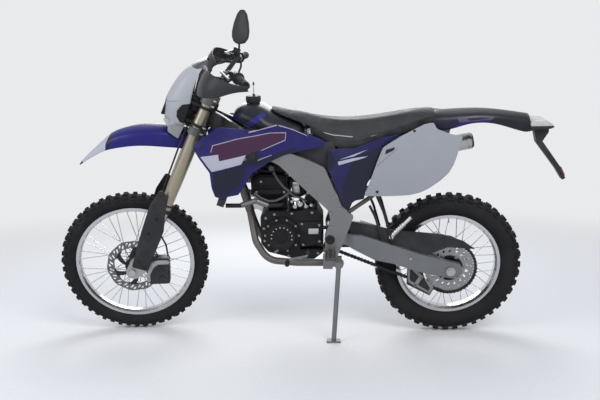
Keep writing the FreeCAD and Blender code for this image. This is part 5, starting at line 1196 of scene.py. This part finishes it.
# Ahead of the steering head, out from the middle, low edge, high edge
GUARD_LINE = ((60, 176, 150, 196), (76, 196, 136, 208), (88, 232, 128, 218),
              (93.5, 275, 124, 226), (92, 318, 124, 232), (86, 352, 127, 236),
              (72, 392, 134, 237), (50, 418, 146, 237), (16, 434, 164, 237),
              (-20, 442, 200, 241), (-56, 444, 224, 249), (-88, 440, 238, 259))
hand = bmesh.new()
sections = []
for forward, out, low, high in GUARD_LINE:
    middle, half = (low + high) / 2, (high - low) / 2
    sections.append([(forward - 9 * abs(lift) ** 2.2, out - 2.5 * abs(lift) ** 2,
                      middle + half * lift)
                     for lift in (-1, -0.92, -0.72, -0.4, 0, 0.4, 0.72, 0.92, 1)])
skin(hand, sections, closed=False)
outwards(hand, 0)
both_sides(hand)
moulded("hand_shields", hand, 0, 0.0045, guard_grey, "steering", ("handguards",))
arms = bmesh.new()
rods(arms, (((-36, 236, 224), (86, 236, 182), 6), ((-2, 236, 212), (88, 262, 196), 5),
            ((84, 236, 184), (90, 236, 181), 11)))
both_sides(arms)
piece("shield_arms", arms, satin_black, "steering")

# Mirror: a leaf-shaped shell of black plastic on a thin bent steel stem, screwed to the left
# perch, with its glass let into one face.
LEAF = ((-6, -64), (24, -60), (40, -42), (42, -14), (34, 22), (22, 54), (9, 70), (-9, 70),
        (-22, 54), (-34, 22), (-40, -12), (-38, -36), (-26, -56))
turned = Matrix.Translation((20, 336, 440)) @ Matrix.Rotation(
    math.radians(138), 4, "Z") @ Matrix.Rotation(math.radians(-22), 4, "Y")
shell = bmesh.new()
prism(shell, LEAF, -8, 8, 6)
placed(shell, turned)
bent_rod(shell, ((-42, 260, 262.9), (-42, 260, 288), (-36, 272, 304), (-20, 300, 322),
                 (8, 344, 394)), 4)
piece("mirror_shell", shell, plastic_black, "steering", instead=("mirror",))
mirror_glass = finish("mirror_glass", (0.7, 0.72, 0.74), 0.05, metal=1.0, dust=0.0, stand=fork)
pane = bmesh.new()
prism(pane, [(x * 0.86, z * 0.9) for x, z in LEAF], 7.6, 9.2, 0.5)
placed(pane, turned)
piece("mirror_pane", pane, mirror_glass, "steering")

# Headlamp mask: a thin white plastic shell in front of the bars, moulded in one with its grey
# screen, with a round opening low in its face for the lamp.
mask_white = finish("mask_white", (0.34, 0.35, 0.38), 0.4, coat=0.1, dust=0.15, stand=fork)
SCREEN = (0.07, 0.072, 0.08)
graphics(mask_white, fork, (
    (SCREEN, [(160, 173), (96, 240), (70, 240), (86, 195), (116, 179)]),
    ((0.26, 0.265, 0.28), [(210, -6), (160, 17), (124, 40), (119, 37), (160, 8), (199, -12)]),
    ((0.006, 0.006, 0.007), [(96, 30), (50, 22), (50, -66), (104, -66), (126, -46), (133, -18),
                             (122, 14)]),
    ((0.24, 0.24, 0.25), [(145, -102), (137, -130), (76, -145), (76, -60), (110, -72)])))
# How far up, front, rear, half width
MASK = ((227, 96, 86, 51), (215, 111, 90, 60), (198, 129, 95, 71), (175, 147, 101, 83),
        (145, 165, 103, 97), (112, 180, 103.5, 107), (60, 192, 96, 110.5), (20, 197.5, 89, 111.5),
        (0, 199, 86, 111.5), (-12, 197.5, 85, 109.5), (-24, 195, 84.5, 107.5),
        (-60, 183, 84, 95), (-84, 174, 84, 87))
visor = bmesh.new()
sections = []
for up, front, rear, half in MASK:
    turn = front - (front - rear) * 0.42
    side = [(rear, half), (rear + (turn - rear) * 0.5, half * 0.995), (turn, half * 0.96),
            (turn + (front - turn) * 0.55, half * 0.82), (front - 2, half * 0.5),
            (front, half * 0.2)]
    sections.append([(x, y, up) for x, y in side] + [(front + 0.5, 0, up)]
                    + [(x, -y, up) for x, y in reversed(side)])
skin(visor, sections, closed=False)
outwards(visor, 0)
opened = [face for face in visor.faces if face.normal.x > 0.35
          and (face.calc_center_median() - Vector((190, 0, -22))).yz.length < 47]
bmesh.ops.delete(visor, geom=opened, context="FACES")
moulded("lamp_mask", visor, 0, 0.0035, mask_white, "steering", ("headlamp_mask",))

# Headlamp: a round lamp with a fluted glass lens in a black plastic bucket, which is screwed to
# the mask and closes the room behind it.
LAMP_LINE = Vector((1, 0, 0))
lamp = bmesh.new()
spun(lamp, ((0, 0), (0, 52), (60, 62), (70, 64), (76, 64), (76, 55), (70, 50), (30, 34),
            (24, 0)), 64, closed=False)
placed(lamp, pointed((118, 0, -20), LAMP_LINE))
rod(lamp, (56, 0, -20), (84, 0, -20), 50, 40, 62)
rod(lamp, (84, 0, -20), (120, 0, -20), 62, 40, 50)
block(lamp, (70, 0, 36), (26, 150, 30), 5)
prism(lamp, ((46, -4), (52, 110), (74, 178), (104, 190), (100, 140), (88, 30), (86, -4)),
      -62, 62, 6)
block(lamp, (66, 0, -66), (24, 120, 26), 5)
for out in (-70, 70):
    rod(lamp, (48, out, 40), (92, out * 1.25, 60), 6, 16)
    rod(lamp, (48, out, -60), (92, out * 1.1, -72), 6, 16)
piece("lamp_bucket", lamp, plastic_black, "steering")
lamp_glass = finish("lamp_glass", (0.42, 0.44, 0.46), 0.07, coat=1.0, dust=0.02, stand=fork)
bulge = bmesh.new()
spun(bulge, ((62, 0), (62, 59), (68, 59), (73, 52), (76, 36), (77.5, 16), (78, 0)), 64,
     closed=False)
for level in range(-40, 48, 8):
    block(bulge, (level, 75, 0), (1.2, 2, 70), 0.4)
placed(bulge, pointed((115, 0, -20), LAMP_LINE))
piece("lamp_lens", bulge, lamp_glass, "steering", instead=("headlamp",))

# Chin and cheeks: the lower parts of the mask, in the same white plastic, over the fender and
# beside the fork. Rubber straps round the fork's tubes hold the whole mask.
chin = bmesh.new()
skin(chin, [[(x - 22, half + 4, up + 4), (x, half * 0.8, up), (x + 4, half * 0.4, up),
             (x + 6, 0, up), (x + 4, -half * 0.4, up), (x, -half * 0.8, up),
             (x - 22, -half - 4, up + 4)]
            for up, x, half in ((-78, 172, 84), (-92, 168, 80), (-104, 150, 74), (-108, 132, 66))],
     closed=False)
moulded("mask_chin", chin, 0, 0.0035, mask_white, "steering")
panels("mask_cheeks", ((78, -60), (178, -82), (162, -97), (145, -106), (138, -129), (84, -142)),
       lambda x, z: 87 + (z + 60) * 0.05 - 10 * ease((x - 120) / 60), 0.003, mask_white,
       "steering", corner=6)
dress(rubber_black, "mask_straps")

# Front fender: one deep blue plastic shell under the lower clamp, with a dark jagged band and a
# white tip.
fender_blue = finish("fender_blue", (0.009, 0.008, 0.12), 0.38, coat=0.08, dust=0.05, stand=fork)
graphics(fender_blue, fork, (
    (NAVY, [(368, -248), (356, -238), (351, -290), (357, -337), (364, -337), (372, -292)]),
    (NAVY, [(352, -262), (338, -268), (350, -276)]),
    (NAVY, [(353, -296), (340, -304), (354, -312)]),
    (WHITE, [(368, -248), (371, -295), (446, -457), (472, -440), (420, -298)]),
    (WHITE, [(371, -295), (360, -327), (446, -457), (440, -400)]),
    ((0.03, 0.028, 0.06), [(437, -424), (437, -460), (475, -460), (475, -424)])))
# How far ahead of the steering head, top, half width, drop of the sides
FRONT_FENDER = ((-30, -92, 54, 80), (-15, -91.3, 56, 84), (0, -90.6, 58, 88), (60, -96, 62, 88),
                (100, -106, 71, 90), (144, -118, 79, 90), (195, -136, 80, 89),
                (250, -160, 78, 88), (305, -195, 71, 87), (355, -237, 62, 80),
                (380, -276, 54, 68), (400, -322, 46, 50), (428, -380, 36, 30),
                (448, -433, 24, 14))
beak = bmesh.new()
skin(beak, [arch(*row) for row in FRONT_FENDER], closed=False)
moulded("front_mudguard", beak, 2, 0.004, fender_blue, "steering",
        ("front_fender",))

# Wheels: polished aluminium rims laced to black hubs with crossed steel spokes, so their finish
# turns black within the hub's radius.
HUB_RADIUS = 0.051
for hub, name in ((front_hub, "front_wheel"), (rear_hub, "rear_wheel")):
    polished = finish(name + "_metal", (0.55, 0.55, 0.57), 0.17, metal=1.0, dust=0.04, stand=hub)
    tree = polished.node_tree
    parts = add(tree, "SeparateXYZ", {0: place_of(tree, hub)})
    flat = add(tree, "CombineXYZ", {0: parts.outputs[0], 2: parts.outputs[2]})
    far = add(tree, "VectorMath", {0: flat.outputs[0]}, operation="LENGTH")
    overlay(polished, add(tree, "Math", {0: far.outputs["Value"], 1: HUB_RADIUS},
                          operation="LESS_THAN").outputs[0], (0.012, 0.012, 0.013))
    dress(polished, name)

# Tyres: black rubber enduro tyres, their blocky knobs set in rows of two by turns, with smooth
# plain sidewalls.
tyre_black = finish("tyre_black", (0.009, 0.009, 0.010), 0.75, grain=500, depth=0.0002, dust=0.08)
KNOB_HEIGHT = 12


def knob(width, length, height, root):
    """One knob of the tread, standing on its root along Z."""
    mesh = bmesh.new()
    bmesh.ops.create_cone(mesh, cap_ends=True, segments=4, radius1=0.7071, radius2=0.60,
                          depth=1, matrix=Matrix.Translation((0, 0, 0.5))
                          @ Matrix.Rotation(math.pi / 4, 4, "Z"))
    bmesh.ops.scale(mesh, vec=(length, width, height + root), verts=mesh.verts)
    bmesh.ops.translate(mesh, vec=(0, 0, -root), verts=mesh.verts)
    tips = [edge for edge in mesh.edges if all(end.co.z > 0 for end in edge.verts)]
    bmesh.ops.bevel(mesh, geom=tips, offset=1, segments=1, profile=0.5, affect="EDGES",
                    material=-1)
    return drawn("knob_pattern", mesh)


# The row's turn round the tyre in pitches, out, tip radius, lean from upright, width, length
FRONT_ROWS = ((0, 9, 350, 3, 15, 22), (0.5, 22, 346.5, 18, 17, 21), (0, 36, 336, 40, 14, 24),
              (0.5, 39, 331, 50, 12, 22))
REAR_ROWS = ((0, 11, 340, 3, 19, 26), (0.5, 28, 336, 16, 19, 26), (0, 44, 326, 40, 17, 28),
             (0.5, 47, 320, 50, 14, 26))
FRONT_CARCASS = ((18.7, 269.5), (19, 283), (30, 291), (38, 306), (39, 318), (34, 330),
                 (21, 336.5), (0, 338.5))
REAR_CARCASS = ((26.7, 232), (27, 246), (40, 256), (50, 275), (51, 292), (45, 310), (29, 324),
                (0, 327))
for name, body, carcass, rows, pitches in (
        ("front_tyre", "front_wheel", FRONT_CARCASS, FRONT_ROWS, 26),
        ("rear_tyre", "rear_wheel", REAR_CARCASS, REAR_ROWS, 22)):
    rubber = bmesh.new()
    spun(rubber, carcass + tuple((-out, radius) for out, radius in reversed(carcass[:-1])), 96)
    for turn, out, tip, lean, width, length in rows:
        pattern = knob(width, length, KNOB_HEIGHT, 5)
        for count in range(pitches):
            angle = 2 * math.pi * (count + turn) / pitches
            for side in (-1, 1):
                tilt = Matrix.Rotation(-side * math.radians(lean), 4, "X")
                top = tilt @ Vector((0, 0, KNOB_HEIGHT))
                stamped(rubber, pattern, Matrix.Rotation(angle, 4, "Y") @ Matrix.Translation(
                    (0, side * out - top.y, tip - 0.6 - top.z)) @ tilt)
    piece("knobbly_" + name, rubber, tyre_black, body, instead=(name,), angle=35)

# Discs: thin steel wave discs with slanted slots, cut from plate, on dark six-armed carriers that
# are bolted to the hubs.
disc_steel = finish("disc_steel", (0.16, 0.16, 0.165), 0.34, metal=1.0, grain=1800, dust=0.02,
                    stand=front_hub)
carrier_dark = finish("carrier_dark", (0.03, 0.03, 0.032), 0.4, metal=0.6, stand=front_hub)


def annulus(radii, sectors, cut_out, shape, scale, wall, out):
    """A flat ring in cells, some cut out, whose corners shape() moves. It stands a way out."""
    mesh = bmesh.new()
    spun(mesh, [(0, radius) for radius in radii], sectors, closed=False)
    gone = []
    for face in mesh.faces:
        centre = face.calc_center_median()
        sector = int((math.atan2(centre.z, centre.x) % (2 * math.pi)) / (2 * math.pi) * sectors)
        ring = sum(radius < centre.length for radius in radii) - 1
        if cut_out(sector, ring):
            gone.append(face)
    bmesh.ops.delete(mesh, geom=gone, context="FACES")
    for corner in mesh.verts:
        radius, angle = shape(corner.co.length, math.atan2(corner.co.z, corner.co.x))
        corner.co = Vector((radius * math.cos(angle), 0, radius * math.sin(angle)))
    mesh.normal_update()
    bmesh.ops.solidify(mesh, geom=mesh.faces[:], thickness=1)
    bmesh.ops.recalc_face_normals(mesh, faces=mesh.faces)
    bmesh.ops.scale(mesh, vec=(scale, wall, scale), verts=mesh.verts)
    middle = sum(corner.co.y for corner in mesh.verts) / len(mesh.verts)
    bmesh.ops.translate(mesh, vec=(0, out - middle, 0), verts=mesh.verts)
    return mesh


for name, body, out, scale, lobes in (("front_disc", "front_wheel", 56, 1.0, 10),
                                      ("rear_disc", "rear_wheel", -69, 110 / 130, 8)):
    ring = annulus(
        (94, 100, 105, 111, 116, 122, 128), 160,
        lambda sector, ring: (ring in (1, 2, 3) and sector % 8 in (1, 2)
                              or ring in (3, 4) and sector % 8 in (5, 6)),
        lambda radius, angle: (radius + (1.7 if radius > 118 or radius < 97 else 0)
                               * math.cos(lobes * angle), angle + (radius - 110) * 0.006),
        scale, 4, out)
    piece("wave_" + name, ring, disc_steel, body, instead=(name,), angle=30)
    spider = annulus(
        (26 / scale, 36, 44, 56, 70, 82, 90, 96), 120,
        lambda sector, ring: (ring in (2, 3, 4, 5) and sector % 20 in range(3, 17)
                              or ring == 6 and sector % 20 in range(5, 15)),
        lambda radius, angle: (radius, angle + (radius - 60) * 0.008), scale, 4.6, out)
    for angle in range(0, 360, 60):
        bolt(spider, around(angle, 33 * scale, out + math.copysign(2, out)),
             (0, math.copysign(1, out), 0), 4.5, 3.5)
    piece(name + "_carrier", spider, carrier_dark, body, angle=30)

# Rear sprocket: a drilled aluminium ring with pointed teeth inside the chain, bolted to a black
# carrier on the hub. The front one is plain steel.
tip = large - 5.6
sprocket = annulus(
    (60, 68, 74, 79, 84, 89, 96, 104, tip - 6, tip), 6 * REAR_TEETH,
    lambda sector, ring: (ring in (2, 3, 4) and sector % 16 in (5, 6, 7, 8, 9)
                          or ring == 8 and sector % 6 in (0, 5)
                          or ring == 6 and sector % 18 in (8, 9)),
    lambda radius, angle: (radius, angle + (radius - 80) * 0.006), 1, 5.8, CHAIN_OUT)
sprocket_silver = finish("sprocket_silver", (0.30, 0.30, 0.31), 0.32, metal=0.9, stand=rear_hub)
piece("drilled_sprocket", sprocket, sprocket_silver, "rear_wheel",
      instead=("rear_sprocket",), angle=30)
dress(bright_steel, "front_sprocket")
carrier = bmesh.new()
spun(carrier, ((66, 30), (66, 64), (72, 64), (74, 60), (74, 50), (71, 46), (71, 30)), 64)
for angle in range(0, 360, 30):
    block(carrier, around(angle, 40, CHAIN_OUT), (18, 8, 3), 1,
          Matrix.Rotation(-math.radians(angle), 4, "Y"))
piece("sprocket_carrier", carrier, engine_black, "rear_wheel")
hubs = bmesh.new()
for angle in range(0, 360, 60):
    bolt(hubs, around(angle, 58, 72.9), (0, 1, 0), 6, 4)
piece("sprocket_bolts", hubs, bolt_steel, "rear_wheel")

# Valves: a plated stem with a wider cap, which comes from the tyre's inner tube through a hole in
# each rim.
for name, body, radius in (("front_valve", "front_wheel", 266),
                           ("rear_valve", "rear_wheel", 228)):
    valve = bmesh.new()
    rod(valve, (0, 0, radius), (0, 0, radius - 30), 3, 12)
    rod(valve, (0, 0, radius - 20), (0, 0, radius - 32), 4, 12)
    piece(name, valve, bolt_steel, body)
